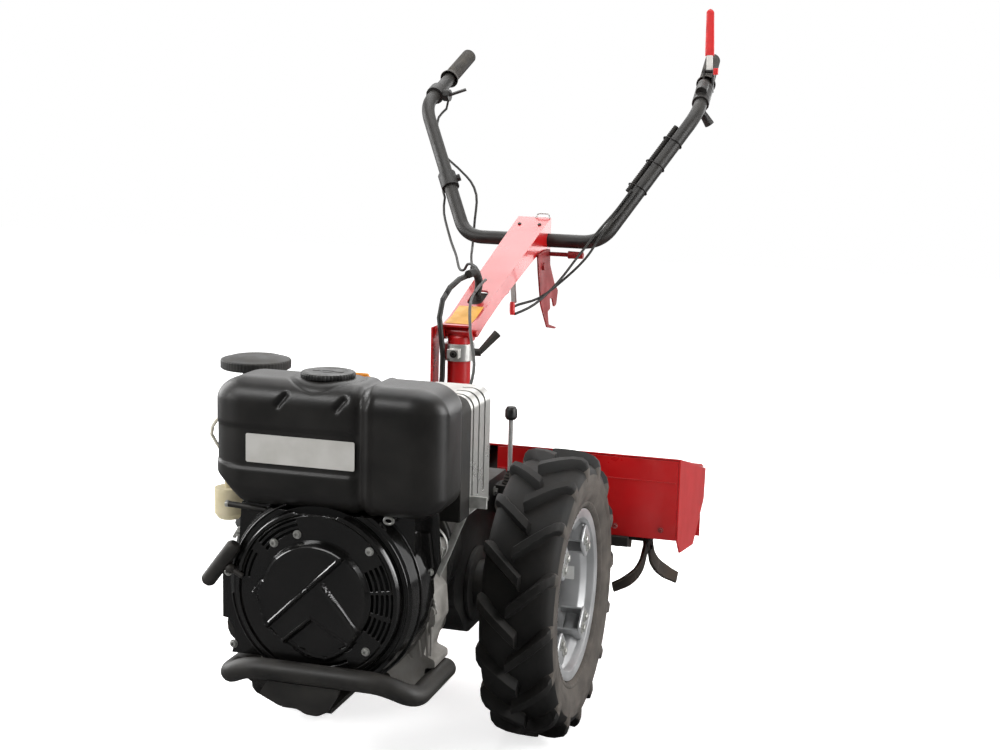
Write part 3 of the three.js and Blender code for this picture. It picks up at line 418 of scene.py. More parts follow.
tread_rubber = finish("tread_rubber", "#0f0f0e", "#1b1a19", 0.58, broad=14, fine=420, grain=0.0002,
                      dusty=("#4d4741", 0.22), worn_and_sheen=("#4a4540", 0.5), gloss=0.35)
wall_rubber = finish("wall_rubber", "#3f3b37", "#544f4a", 0.7, broad=26, fine=500, grain=0.00025,
                     dusty=("#7a7169", 0.35), gloss=0.3)
rim_silver = finish("rim_silver", "#a9aaab", "#b9babb", 0.34, 0.55, broad=16, fine=900, grain=0.00004,
                    dusty=("#8b8680", 0.25), worn_and_sheen=("#d8d8d8", 0.4))


def tyre(x):
    """Carcass: the side profile and its mirror turned about the axle, with fine ribs raised near the bead.
    Lugs: a six-cornered section carried from the shoulder to the middle while it turns with its distance."""
    mirrored = [(r, -a) for r, a in reversed(carcass_side)]
    profile = np.array(carcass_side + mirrored)
    sides = 360
    body_points, body_faces = turned(profile, "X", (0, 0, 0), sides)
    grid = body_points.reshape(len(profile), sides, 3)
    angle = np.arange(sides) * 2 * np.pi / sides
    rib = rib_height * np.maximum(0, np.cos(bead_ribs * angle)) ** 6
    near_bead = ((profile[:, 0] > 171) & (profile[:, 0] < 179))[:, None]
    grid[:, :, 0] += np.sign(profile[:, 1:2]) * rib * near_bead
    wall_rows = (profile[:, 0] < 244)
    marks = [int(wall_rows[row] and wall_rows[(row + 1) % len(profile)]) for row in range(len(profile))]
    marks = np.repeat(marks, sides)

    crest, root = np.array(lug_crest, float), np.array(lug_root, float)
    share = np.array([0, 0.9, 1, 1, 0.9, 0])                       # root to crest
    width = np.array([-16, -10.4, -8.2, 8.2, 10.4, 16])            # across the lug, mm
    section = root[:, None] + (crest - root)[:, None] * share[None, :, None]
    lean = lug_sweep * (lug_crest[0][1] - crest[:, 1]) / (lug_crest[0][1] - lug_crest[-1][1])
    each = np.arange(lug_count) * 2 * np.pi / lug_count
    all_points, all_faces, all_marks = [body_points], [*body_faces], [*marks]
    stations = len(crest)
    for side, offset in ((1, 0.0), (-1, np.pi / lug_count)):
        theta = each[:, None, None] + offset + lean[None, :, None] + width[None, None, :] / lug_radius
        radius, out = section[None, :, :, 0], section[None, :, :, 1] * side
        radius, out, theta = np.broadcast_arrays(radius, out, theta)
        points = np.stack([out, -radius * np.sin(theta), radius * np.cos(theta)], -1).reshape(-1, 3)
        start = sum(map(len, all_points))
        for lug in range(lug_count):
            first = start + lug * stations * 6
            all_faces += [np.asarray(face) + first for face in tube_faces(stations, 6)]
            all_marks += [1] * 6 * 2 + [0] * 6 * (stations - 3) + [1, 0]
        all_points.append(points)
    return np.concatenate(all_points) + (x, 0, axle_z), all_faces, all_marks


def rim(x):
    """The closed profile of outside, mirrored outside, mirrored inside and inside, turned about the axle."""
    flipped = [(r, -a) for r, a in reversed(rim_half_profile)]
    inside = [(r, -a) for r, a in reversed(rim_inner_profile)]
    profile = rim_half_profile + flipped + inside + rim_inner_profile
    return turned(profile, "X", (x, 0, axle_z), 128)


def heads_at(places, normal, rings, sides, stretch=1.0):
    """Rings of (radius, height) about the normal, closed in the middle, one copy per place.
    stretch multiplies the rings' radii, and may change round the ring."""
    normal = np.asarray(normal, float) / np.linalg.norm(normal)
    side = np.cross(normal, (0, 0, 1) if abs(normal[2]) < 0.9 else (0, 1, 0))
    side /= np.linalg.norm(side)
    top = np.cross(normal, side)
    turn = np.arange(sides) * 2 * np.pi / sides
    radius, rise = np.array([(0, 0), *rings], float).T[..., None]
    reach = np.broadcast_to(radius * stretch, (len(rings) + 1, sides))[..., None]
    points = reach * (np.cos(turn)[:, None] * side + np.sin(turn)[:, None] * top) + rise[..., None] * normal
    faces = grid_faces(len(rings) + 1, sides)
    return joined(*[(points.reshape(-1, 3) + np.asarray(place, float), faces) for place in places])


def bolt_heads(places, normal, across=13.0, height=7.0, washer=1.6):
    """Hexagon heads on round washers: the rings above the washer are stretched from a circle to six flats."""
    corner = across / np.sqrt(3)
    rings = [(across * 0.92, 0.0), (across * 0.92, washer), (corner, washer), (corner, height * 0.86),
             (corner * 0.84, height), (0.0, height)]
    turn = np.arange(24) * 2 * np.pi / 24
    flats = np.cos(np.pi / 6) / np.cos((turn % (np.pi / 3)) - np.pi / 6)
    is_round = np.arange(len(rings) + 1)[:, None] < 3
    return heads_at(places, normal, rings, 24, np.where(is_round, 1.0, flats))


zinc = finish("zinc_plate", "#c4c4c0", "#a3a39e", 0.3, 0.6, broad=60, fine=900, grain=0.00003,
              dusty=("#6c665e", 0.2))
label_white = finish("label_white", "#e9e9e6", "#dededb", 0.4, broad=30, grain=0.00001, dusty=None)


def rounded_plate(half, corner, thick, steps=6):
    """A rounded rectangle in x and y: rings of its outline at the back, at the front, and inset there
    by the roll of its rim."""
    roll = min(0.4 * thick, 0.6 * corner)
    corner_turn = np.linspace(0, np.pi / 2, steps)
    turn = np.concatenate([corner_turn + q * np.pi / 2 for q in range(4)])
    middle = np.repeat([[1, 1], [-1, 1], [-1, -1], [1, -1]], steps, axis=0) * (np.array(half) - corner)
    unit = np.stack([np.cos(turn), np.sin(turn)], -1)
    rings = []
    for inset, rise in ((0, 0), (0, thick - roll), (roll, thick)):
        flat = middle + unit * (corner - inset)
        rings.append(np.column_stack([flat, np.full(len(flat), rise)]))
    return np.concatenate(rings), tube_faces(3, len(turn))


def set_on(shape, centre, across, up):
    """Turns a flat shape so that its x runs along across, its y along up and its z outwards, and moves it."""
    points, faces = shape
    across, up = (np.asarray(v, float) / np.linalg.norm(v) for v in (across, up))
    basis = np.stack([across, up, np.cross(across, up)])
    return points @ basis + np.asarray(centre, float), faces


disc_inset = 13.0             # from the tyre's middle to the disc's outer face
arm_bolt_radius, hub_bolt_radius = 104, 52
ear_radius, ear_out = 121.0, 47.0   # where the rim's lugs stand, from the axle and outwards
web_shift, nut_shift = 24, 13
for side, sign in (("left", 1), ("right", -1)):
    body = f"wheel_{side}"
    shape = tyre(sign * wheel_x)
    add_piece(f"{side}_tyre", shape[:2], [tread_rubber, wall_rubber], body, [f"tyre_{side}"], 34,
              shape[2])
    add_piece(f"{side}_rim", rim(sign * wheel_x), rim_silver, body, [f"rim_{side}"], 44)
    face_centre = (sign * (wheel_x - disc_inset), 0, axle_z)
    arm_bolts = ring_of(4, arm_bolt_radius, face_centre, "X", np.pi / 4)
    hub_bolts = ring_of(5, hub_bolt_radius, face_centre, "X")
    lugs, lug_bolts = [], []
    for lean in np.pi / 4 + np.arange(4) * np.pi / 2:
        out = np.array([0, math.cos(lean), math.sin(lean)])
        along_rim = np.array([0, -math.sin(lean), math.cos(lean)])
        foot = np.array([sign * (wheel_x + ear_out), 0, axle_z]) + out * ear_radius
        lugs.append(set_on(rounded_plate((25, 30), 14, 5), foot, out, along_rim * sign))
        for shift in (-web_shift, web_shift):
            web_place = foot + along_rim * (shift - 2.5) - (sign * 24, 0, 0) + out * 4
            lugs.append(set_on(rounded_plate((23, 20), 3, 5), web_place, (1, 0, 0), out))
        lug_bolts += [foot + along_rim * shift + (sign * 5, 0, 0) - out * 4
                      for shift in (-nut_shift, nut_shift)]
    add_piece(f"{side}_rim_lugs", joined(*lugs), rim_silver, body)
    nuts = [bolt_heads(places, (sign, 0, 0), across, height)
            for places, across, height in ((arm_bolts, 17, 9), (hub_bolts, 15, 8), (lug_bolts, 13, 6))]
    add_piece(f"{side}_wheel_bolts", joined(*nuts), zinc, body)
    tag_place = (sign * (wheel_x + 8), 128.9, axle_z + 6)
    tag = set_on(rounded_plate((17, 10), 2, 0.8), tag_place, (0, 0, 1), (1, 0, 0))
    add_piece(f"{side}_rim_label", tag, label_white, body)


# ---- Wheel discs, axles, gearbox and clutch housing ------------------------
# The discs are pressed sheet; the axle shafts are turned steel with a flange.
# The gearbox and the bell of the clutch are sand-cast iron, painted black and
# bolted together through flanges.
most_change = (0.05, 0.06)    # share of its volume and of its area that rounding may take


def softened(node, name, material, width=1.0, keep=30, crease=50, rides=True):
    """The node's own shape with its flat faces made whole and each edge sharper than keep degrees rounded.
    A rounding that changes the shape too much is tried again at a third of its width, then left out."""
    source = frame["nodes"][node]
    mesh = source.data.copy()
    mesh.name = name
    mesh.materials.clear()
    mesh.materials.append(material)
    for offset in (0, width, width / 3):
        shape = bmesh.new()
        shape.from_mesh(source.data)
        bmesh.ops.remove_doubles(shape, verts=shape.verts, dist=2e-6)
        if offset:
            bmesh.ops.dissolve_limit(shape, angle_limit=math.radians(0.6), verts=shape.verts,
                                     edges=shape.edges)
            sharp = [edge for edge in shape.edges
                     if len(edge.link_faces) == 2 and edge.calc_face_angle() > math.radians(keep)]
            bmesh.ops.bevel(shape, geom=sharp, offset=offset * MM, segments=2, profile=0.6,
                            affect="EDGES", clamp_overlap=True)
            bmesh.ops.remove_doubles(shape, verts=shape.verts, dist=2e-6)
            bmesh.ops.triangulate(shape, faces=shape.faces)
        measures = np.array([shape.calc_volume(), sum(face.calc_area() for face in shape.faces)])
        plain = measures if not offset else plain
        rounded = offset and np.all(np.abs(measures / plain - 1) < most_change)
        if rounded or not offset:
            shape.to_mesh(mesh)
        shape.free()
        if rounded:
            break
    mesh.polygons.foreach_set("use_smooth", np.ones(len(mesh.polygons), bool))
    mesh.set_sharp_from_angle(angle=math.radians(crease))
    piece = bpy.data.objects.new(name, mesh)
    bpy.context.scene.collection.objects.link(piece)
    weighted = piece.modifiers.new("flat_faces", "WEIGHTED_NORMAL")
    weighted.keep_sharp = True
    if rides:
        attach(piece, source["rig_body"])
    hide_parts(node)
    return piece


cast_iron = finish("cast_iron_black", "#171717", "#232322", 0.5, broad=30, fine=260, grain=0.0005,
                   dusty=("#6e675c", 0.3), worn_and_sheen=("#4a4845", 0.6), gloss=0.5)
turned_steel = finish("turned_steel", "#3a3938", "#2b2a29", 0.4, 0.8, broad=40, fine=800, grain=0.00004,
                      dusty=("#6b6359", 0.3), worn_and_sheen=("#83807b", 0.6))
for side in ("left", "right"):
    softened(f"wheel_disc_{side}", f"{side}_wheel_plate", rim_silver, 1.6)
    softened(f"axle_{side}", f"{side}_axle_shaft", turned_steel, 1.2)
softened("gearbox", "gearbox_casing", cast_iron, 3.0)
softened("clutch_housing", "clutch_bell", cast_iron, 3.0)


gearbox_side, gearbox_bolts = 95, []
for sign in (1, -1):
    hub_ring = ring_of(6, 60, (sign * gearbox_side, 0, axle_z), "X", 0.3)
    gearbox_bolts.append(bolt_heads(hub_ring, (sign, 0, 0), 13, 8))
    side_cover = [(sign * gearbox_side, y, z) for y,
                  z in ((60, 300), (60, 440), (125, 440), (190, 440), (190, 300), (125, 268))]
    gearbox_bolts.append(bolt_heads(side_cover, (sign, 0, 0), 11, 7))
top_cover = [(x, y, 470) for x in (-70, 70) for y in (70, 100)]
gearbox_bolts.append(bolt_heads(top_cover, (0, 0, 1), 11, 7))
gearbox_bolts.append(bolt_heads(ring_of(6, 37, (0, 165, 484.3), "Z", 0.5), (0, 0, 1), 9, 6))
add_piece("gearbox_bolts", joined(*gearbox_bolts), zinc, "chassis")

crank_z = 408.0


def flange(radius, thick, axis, centre, sides):
    """A round plate with eased rims, turned about the axis from its centre onwards."""
    profile = [(0, 0), (radius - 3, 0), (radius, 2), (radius, thick - 2), (radius - 3, thick), (0, thick)]
    return turned(profile, axis, centre, sides, closed=False)


bell_flanges = joined(flange(129, 12, "Y", (0, -241, crank_z), 96),
                      flange(75, 11, "X", (gearbox_side, 0, axle_z), 64),
                      flange(75, 11, "X", (-gearbox_side - 11, 0, axle_z), 64))
add_piece("housing_flanges", bell_flanges, cast_iron, "chassis")

# ---- Gear lever ------------------------------------------------------------
# A chromed rod in a rubber boot, with a small faceted black knob screwed on.
chrome = finish("chrome_plate", "#e4e4e2", "#d0d0ce", 0.16, 0.65, broad=80, grain=0.00001,
                dusty=("#8b8680", 0.1), play_by=0.08)
knob_black = finish("knob_plastic", "#141414", "#1f1f1f", 0.35, broad=60, fine=900, grain=0.00003,
                    worn_and_sheen=("#3b3a38", 0.4))
rubber_black = finish("rubber_black", "#181716", "#24221f", 0.7, broad=40, fine=700, grain=0.0001,
                      dusty=("#6b6359", 0.3))
softened("gear_lever", "gear_lever_rod", chrome, 0.5)
softened("gear_knob", "gear_lever_knob", knob_black, 1.2)
boot = [(0, 452.2), (15, 452.2), (15.5, 455), (12.5, 458), (13.5, 461), (10.5, 464), (11.4, 467), (8.4, 470),
        (9, 473), (6.2, 476), (6.2, 480), (0, 480)]
add_piece("gear_lever_boot", turned(boot, "Z", (119, 150, 0), 40, closed=False), rubber_black,
          "chassis")


# ---- Engine bed and bumper -------------------------------------------------
# The bed is a folded plate that carries the engine's feet, with its nose under
# the bumper. The bumper is one bent steel tube, powder coated satin black.
def rounded_path(corners, bend, steps=12):
    """Straight runs whose corners are quadratic curves that begin and end at the bend's distance."""
    corners = np.asarray(corners, float)
    share = np.linspace(0, 1, steps)[:, None]
    runs = [corners[:1]]
    for before, corner, after in zip(corners[:-2], corners[1:-1], corners[2:]):
        enter = corner + (before - corner) * bend / np.linalg.norm(before - corner)
        leave = corner + (after - corner) * bend / np.linalg.norm(after - corner)
        runs.append((1 - share) ** 2 * enter + 2 * share * (1 - share) * corner + share ** 2 * leave)
    runs.append(corners[-1:])
    return np.concatenate(runs)


def swept(path, radius, sides=24, reference=(0, 0, 1), flat=None):
    """A round section, or a flat one of (half width, half thickness), carried along the path square to it.
    The radius may change along the path. Both ends are closed."""
    path = np.asarray(path, float)
    along = np.gradient(path, axis=0)
    along /= np.linalg.norm(along, axis=1, keepdims=True)
    side = np.cross(along, np.asarray(reference, float))
    side /= np.linalg.norm(side, axis=1, keepdims=True)
    top = np.cross(side, along)
    turn = np.arange(sides) * 2 * np.pi / sides
    if flat is None:
        size = np.broadcast_to(np.asarray(radius, float), (len(path),))[:, None, None]
        ring = size * (np.cos(turn)[None, :, None] * side[:, None] + np.sin(turn)[None, :, None]
                       * top[:, None])
    else:
        a = np.sign(np.cos(turn)) * np.abs(np.cos(turn)) ** 0.35 * flat[0]
        b = np.sign(np.sin(turn)) * np.abs(np.sin(turn)) ** 0.35 * flat[1]
        ring = a[None, :, None] * side[:, None] + b[None, :, None] * top[:, None]
    points = (path[:, None] + ring).reshape(-1, 3)
    return points, tube_faces(len(path), sides)


powder_black = finish("powder_coat_black", "#1a1918", "#24221f", 0.42, broad=24, fine=1100, grain=0.00012,
                      dusty=("#6e675c", 0.12), worn_and_sheen=("#5a5753", 0.3), gloss=0.5)
softened("engine_bed", "engine_bed_plate", powder_black, 1.5)
rail_x, rail_z, rail_rear = 171.3, 251.0, -400.3
nose_x, nose_y, nose_z = 120.0, -582.8, 278.0
half_bumper = [(rail_x, rail_rear, rail_z), (rail_x, nose_y + 24, rail_z), (nose_x, nose_y, nose_z)]
corners = half_bumper + [(-x, y, z) for x, y, z in reversed(half_bumper)]
add_piece("bumper_tube", swept(rounded_path(corners, 28, 14), 18, 40, (0, 0, 1)), powder_black,
          "chassis", ["bumper"])
foot_bolts = [(sign * 132, y, 284.5) for sign in (1, -1) for y in (-448, -408)]

# ---- Crankcase and cylinder ------------------------------------------------
# The crankcase is die-cast aluminium with upright ribs beside the fan shroud.
# The cylinder stands on it with cooling fins, and the valve cover is bolted on.
cast_alloy = finish("cast_aluminium", "#807d78", "#9b9893", 0.4, 0.45, broad=22, fine=320, grain=0.0004,
                    dusty=("#5c564d", 0.35), worn_and_sheen=("#d2cfc9", 0.6))
softened("crankcase", "engine_crankcase", cast_alloy, 1.6)


def slab(x, y, z, corner=0.0):
    """A box between two limits on each axis; its upright corners are quarter circles of the corner radius."""
    middle = np.array([(x[0] + x[1]) / 2, (y[0] + y[1]) / 2, z[0]])
    half = ((x[1] - x[0]) / 2, (y[1] - y[0]) / 2)
    points, faces = rounded_plate(half, max(corner, 0.4), z[1] - z[0], 5)
    return points + middle, faces


fin_y = (-395, -253)
fins = [slab((-82, 84), fin_y, (z, z + 2.6), 16) for z in np.arange(446, 640, 9.0)]
fins += [slab((-92, 84), fin_y, (z, z + 3.0), 14) for z in np.arange(642, 700, 10.0)]
core = slab((-70, 72), (-383, -265), (440.4, 700), 14)
cover = slab((-86, 78), (-387, -261), (700, 722), 12)
add_piece("engine_cylinder", joined(core, cover, *fins), cast_alloy, "chassis",
          ["cylinder_block"], 30)

# Ribs, arcs and a boss cast on the crankcase's face beside the shroud.
face_y = -462.5
ribs = []
rib_y = face_y - 1.0
for x0, z0, x1, z1 in ((156, 355, 158, 290), (164, 345, 164, 292), (112, 300, 128, 283),
                       (140, 330, 146, 290)):
    run = np.linspace((x0, rib_y, z0), (x1, rib_y, z1), 8)
    ribs.append(swept(run, 2.4, 10, (0, 1, 0)))
for lift in range(4):
    turn = np.linspace(-0.4, 1.4, 14)
    arc = np.stack([158 + 2 * lift + 9 * np.cos(turn), np.full(14, rib_y), 398 - 9 * lift + 9 * np.sin(turn)],
                   -1)
    ribs.append(swept(arc, 1.7, 8, (0, 1, 0)))
ribs.append(turned([(0, 0), (9, 0), (9, 5), (6, 7), (3, 7), (3, 3), (0, 3)], "Y", (162, face_y - 7, 372), 28,
                   closed=False))
add_piece("crankcase_ribs", joined(*ribs), cast_alloy, "chassis")
engine_screws = [bolt_heads(foot_bolts, (0, 0, 1), 13, 8),
                 bolt_heads([(x, y, 722) for x in (-76, 68) for y in (-376, -272)], (0, 0, 1), 10, 7)]
for sign in (1, -1):
    side_bolts = [(sign * 118, y, z) for y in (-372, -270) for z in (300, 420)]
    engine_screws.append(bolt_heads(side_bolts, (sign, 0, 0), 10, 6))
add_piece("engine_screws", joined(*engine_screws), zinc, "chassis")

# Oil filler: a yellow cap with a grip bar, seated in the valve cover.
cap_yellow = finish("cap_yellow", "#e3941a", "#d98713", 0.4, broad=50, fine=700, grain=0.00005,
                    dusty=("#8f8778", 0.15),
                    worn_and_sheen=("#f0b351", 0.3))
cap_low, cap_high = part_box("oil_cap")
cap_z, cap_top = cap_low.z / MM, cap_high.z / MM
sides = 96
points, faces = turned([(0, 0), (15, 0), (15, 8), (22, 8), (23, 9.5), (23, 16), (21.5, 17.5), (0, 17.5)], "Z",
                       (0, 0, 0), sides, closed=False)
bumpy = 1 + 0.035 * np.sign(np.cos(12 * np.arctan2(points[:, 1], points[:, 0])))
outer = np.hypot(points[:, 0], points[:, 1]) > 18
points[:, :2] *= np.where(outer, bumpy, 1)[:, None] / 1.035
grip = slab((-20, 20), (-4, 4), (17, cap_top - cap_z), 3.5)
points, faces = joined((points, faces), grip)
add_piece("oil_filler_cap", (points + (-30, -320, cap_z), faces), cap_yellow, "chassis",
          ["oil_cap"], 30)

# ---- Fan shroud ------------------------------------------------------------
# Deep-drawn sheet over the flywheel, enamelled glossy black: a round drum with a
# plate on its right and a flange on its left, screwed to the crankcase.
# The lighter tint on the enamel's edges is a painted highlight along them.
gloss_black = finish("gloss_black_enamel", "#080808", "#0e0d0c", 0.13, broad=18, fine=500, grain=0.00001,
                     dusty=("#4d4a44", 0.05), worn_and_sheen=("#45433f", 0.35), coat=0.6, gloss=0.6, play_by=0.1)
softened("fan_shroud", "engine_fan_shroud", gloss_black, 2.6)
drum_x = -8.0
front_y, flange_y = -545.6, -522.2


def arc_rod(radius, start, stop, y, thick, steps=60):
    """A thin round rod along part of a circle about the crankshaft, square to Y; degrees from +X."""
    turn = np.radians(np.linspace(start, stop, steps))
    path = np.stack([drum_x + radius * np.cos(turn), np.full(steps, float(y)),
                     crank_z + radius * np.sin(turn)], -1)
    return swept(path, thick, 10, (0, 1, 0))


bead_y = front_y + 0.2
beads = joined(
    arc_rod(159, -70, 62, bead_y, 1.8), arc_rod(153, -62, 58, bead_y, 1.4),
    arc_rod(172, -60, 48, -516, 2.2), arc_rod(159, 112, 172, bead_y, 1.8),
    arc_rod(160, 186, 238, bead_y + 0.2, 1.6))
add_piece("shroud_beads", beads, gloss_black, "chassis")
governor = set_on(rounded_plate((17, 32), 5, 6), (150, -471.5, 480), (1, 0, 0.12), (-0.12, 0, 1))
screw_rings = [(7.4, 0.0), (7.4, 1.4), (5.6, 1.4), (5.6, 4.0), (4.6, 5.0), (2.7, 5.0), (2.7, 2.4), (0.0, 2.4)]


def socket_screws(places, normal):
    """Button heads with a round socket, on washers."""
    return heads_at(places, normal, screw_rings, 28)


add_piece("governor_panel", governor, gloss_black, "chassis")
shroud_screws = joined(
    socket_screws([(162, -471.6, 443), (-176, flange_y, 292), (-186, flange_y, 420)], (0, -1, 0)),
    bolt_heads([(-62, -522.4, 287)], (0, -1, 0), 10, 6))
add_piece("shroud_screws", shroud_screws, zinc, "chassis")

# ---- Recoil starter --------------------------------------------------------
# A pressed, glossy black cover with slots for the cooling air and a raised,
# angular boss over the rope drum. Four screws hold it to the shroud.
boss_edge = np.array([(-180, 108), (-168, 97), (-150, 100), (-138, 104), (-116, 99), (-98, 107), (-80, 111),
                      (-58, 104),
                      (-38, 93), (0, 91), (60, 89), (120, 89), (165, 90), (180, 108)], float)
slot_blocks = [
    ((10, 29), [(98, 103), (107.5, 113), (117.5, 123), (127.5, 133)]),
    ((-10.5, 6.5), [(98, 103), (107, 112), (116, 121), (125, 130), (134, 139)]),
    ((-31, -14), [(98, 103), (107, 112), (116, 121), (125, 130), (134, 139)]),
    ((106, 142), [(112, 117), (121, 126), (130, 134)]),
    ((150, 171), [(122, 126), (131, 135)]),
    ((-86, -62), [(118, 123), (128, 132), (137, 140)]),
]


def eased(share):
    """0 below 0, 1 above 1, and a smooth S between them."""
    share = np.clip(share, 0, 1)
    return share * share * (3 - 2 * share)


def recoil_height(x, z):
    """How far the cover stands in front of the shroud: a ring, a boss with an eased edge, and on the boss
    three drops past straight ridges and a scoop below a roof-shaped ridge."""
    radius = np.hypot(x - drum_x, z - crank_z)
    angle = np.degrees(np.arctan2(z - crank_z, x - drum_x))
    edge = np.interp(angle, boss_edge[:, 0], boss_edge[:, 1])
    past_a = (x + 18) * 0.696 - (z - 422) * 0.718
    past_b = (x - 26) * 0.775 + (z - 404) * 0.632
    past_c = (x + 14) * 0.663 - (z - 370) * 0.749
    past_d = -(x + 14) * 0.508 - (z - 370) * 0.861
    boss = 29.6 + 1.8 * np.exp(-(past_a / 2.2) ** 2)
    boss = boss - 5.5 * eased(past_a / 5) - np.clip(past_a, 0, 60) * 0.06
    boss = boss - 5.0 * eased(past_b / 5) * eased(past_a / 14)
    boss = boss + 1.8 * np.exp(-(past_b / 2.2) ** 2) * eased(past_a / 14)
    roof = np.minimum(past_c, past_d)
    boss = boss - 8.5 * eased(roof / 6) + 1.6 * np.exp(-(roof / 2.2) ** 2)
    ring = 11.0 + 2.0 * eased((radius - 138) / 3) - 12.5 * eased((radius - 143) / 5)
    share = eased((edge + 5 - radius) / 7)
    bead = 1.5 * np.exp(-((edge - 2 - radius) / 2.6) ** 2) + 1.3 * np.exp(-((radius - 140) / 1.8) ** 2)
    return np.clip(ring + (boss - ring) * share + bead, 0.4, 31.4)


radii = np.unique(np.concatenate([np.linspace(0, 148, 66)] + [np.array(s).ravel() for _, s in slot_blocks]))
steps = 480
turn = -np.pi + np.arange(steps) * 2 * np.pi / steps
x = drum_x + radii[:, None] * np.cos(turn)
z = crank_z + radii[:, None] * np.sin(turn)
z = np.minimum(z, 545.4)
points = np.stack([x, front_y - recoil_height(x, z), z], -1).reshape(-1, 3)
faces = grid_faces(len(radii), steps)
middle_radius = (radii[:-1] + radii[1:]) / 2
middle_turn = np.degrees(turn + np.pi / steps)
open_face = np.zeros((len(radii) - 1, steps), bool)
for (low, high), slots in slot_blocks:
    for near, far in slots:
        inside = (middle_radius > near) & (middle_radius < far)
        open_face |= inside[:, None] & ((middle_turn > low) & (middle_turn < high))[None]
cover_piece = add_piece("recoil_starter_cover", (points, faces[~open_face.ravel()]), gloss_black, "chassis",
                        ["recoil_cover"], 30)
pressed = cover_piece.modifiers.new("sheet", "SOLIDIFY")
pressed.thickness = 2.0 * MM
pressed.offset = -1.0
ring_front = front_y - 13.0
cover_screws = [(x, ring_front, z) for x, z in ((-84, 491), (-42, 510), (87, 494), (82, 321))]
add_piece("recoil_screws", socket_screws(cover_screws, (0, -1, 0)), zinc, "chassis")
screen_black = finish("screen_black", "#050505", "#090909", 0.6, broad=30, dusty=None, gloss=0.3)
screen = turned([(0, 0), (150, 0), (150, 1.5), (0, 1.5)], "Y", (drum_x, front_y - 2.0, crank_z), 96,
                closed=False)
add_piece("fan_screen", screen, screen_black, "chassis")

# ---- Starter handle and controls under the tank ----------------------------
# The rope ends in a moulded handle. Beside it sit the choke rod and the small
# plated brackets that the tank and the governor linkage hang on.
handle_black = finish("handle_plastic", "#1d1b19", "#2a2724", 0.45, broad=40, fine=900, grain=0.00008,
                      worn_and_sheen=("#4c4843", 0.3))
handle_run = np.linspace((-209, -560, 409), (-154, -560, 483), 24)
along = np.linspace(0, 1, 24)
handle_radius = 13 * np.sqrt(np.clip(1 - (1 - np.minimum(1, 9 * np.minimum(along, 1 - along) + 0.25)) ** 2,
                                     0.1, 1))
rope = swept(np.linspace((-172, -561, 443), (-140, -562, 428), 10), 4.6, 14)
collar = swept(np.linspace((-168, -561, 441), (-158, -561, 436), 6), [7.5, 8.5, 8.5, 8.5, 8, 6.5], 20)
add_piece("starter_grip", joined(swept(handle_run, handle_radius, 32, (0, 1, 0)), rope, collar), handle_black,
          "chassis", ["starter_handle"])
choke = swept(np.linspace((-186, -521, 539.6), (-92, -521, 535), 12), 5.2, 18)
choke_tip = swept(np.linspace((-192, -521, 540), (-185, -521, 539.6), 6), [3, 5.6, 5.8, 5.8, 5.8, 5.4], 18)
choke_end = swept(np.linspace((-98, -526, 536), (-80, -526, 541), 8), [3, 4.4, 4.6, 4.6, 4.4, 4.2, 3.6, 2],
                  12)
add_piece("choke_rod", choke, powder_black, "chassis")
add_piece("choke_fittings", joined(choke_tip, choke_end), zinc, "chassis")
strip = slab((-4, 4), (-1.2, 1.2), (0, 24), 1)
bracket_points = strip[0] @ np.array([[1, 0, 0], [0, 1, 0], [0.5, 0, 0.87]]) + (-196, -480, 468)
bands = [(bracket_points, strip[1])]
for height in (473, 480, 487):
    lean = (height - 473) * 0.55
    bands.append(slab((-192 + lean, -178 + lean), (-484, -478), (height, height + 2.6), 1))
arc = np.linspace(0, 2 * np.pi, 28)
eye = np.stack([109 + 8 * np.cos(arc), np.full(28, -530.0), 541 + 5.5 * np.sin(arc)], -1)
bands.append(swept(eye, 2.4, 10, (0, 1, 0)))
turn = np.linspace(-0.75, 1.1, 26)
for shift, half in ((0, 3.4), (-15, 2.2)):
    path = np.stack([112 + shift + 70 * np.cos(turn), np.full(26, -440.0 - shift * 0.6),
                     482 + 44 * np.sin(turn)], -1)
    bands.append(swept(path, 1, 14, (0, 1, 0), (1.0, half)))
strap = rounded_path([(206, -345, 538), (184, -348, 521), (169, -356, 480), (157, -372, 440),
                      (150, -398, 414)], 12, 8)
bands.append(swept(strap, 1, 14, (0, 1, 0), (6.5, 1.5)))
bands.append(slab((186, 224), (-353, -348), (529, 550), 2))
add_piece("linkage_brackets", joined(*bands), zinc, "chassis")

# ---- Fuel tank -------------------------------------------------------------
# A blow-moulded black tank that straddles the engine: a belt groove on its left,
# a shallow band for the nameplate, and a collar for the filler cap.
tank_plastic = finish("tank_plastic", "#131211", "#1c1a18", 0.36, broad=12, fine=1200, grain=0.00009,
                      dusty=("#6b645a", 0.1), worn_and_sheen=("#3f3b37", 0.25), gloss=0.55, play_by=0.08)
tank_x, tank_y, tank_z = (-205.0, 208.0), (-559.3, -415.3), (546.0, 765.5)
cap_x, cap_y = -18.0, -487.3
section_corner, end_depth = 40.0, 60.0


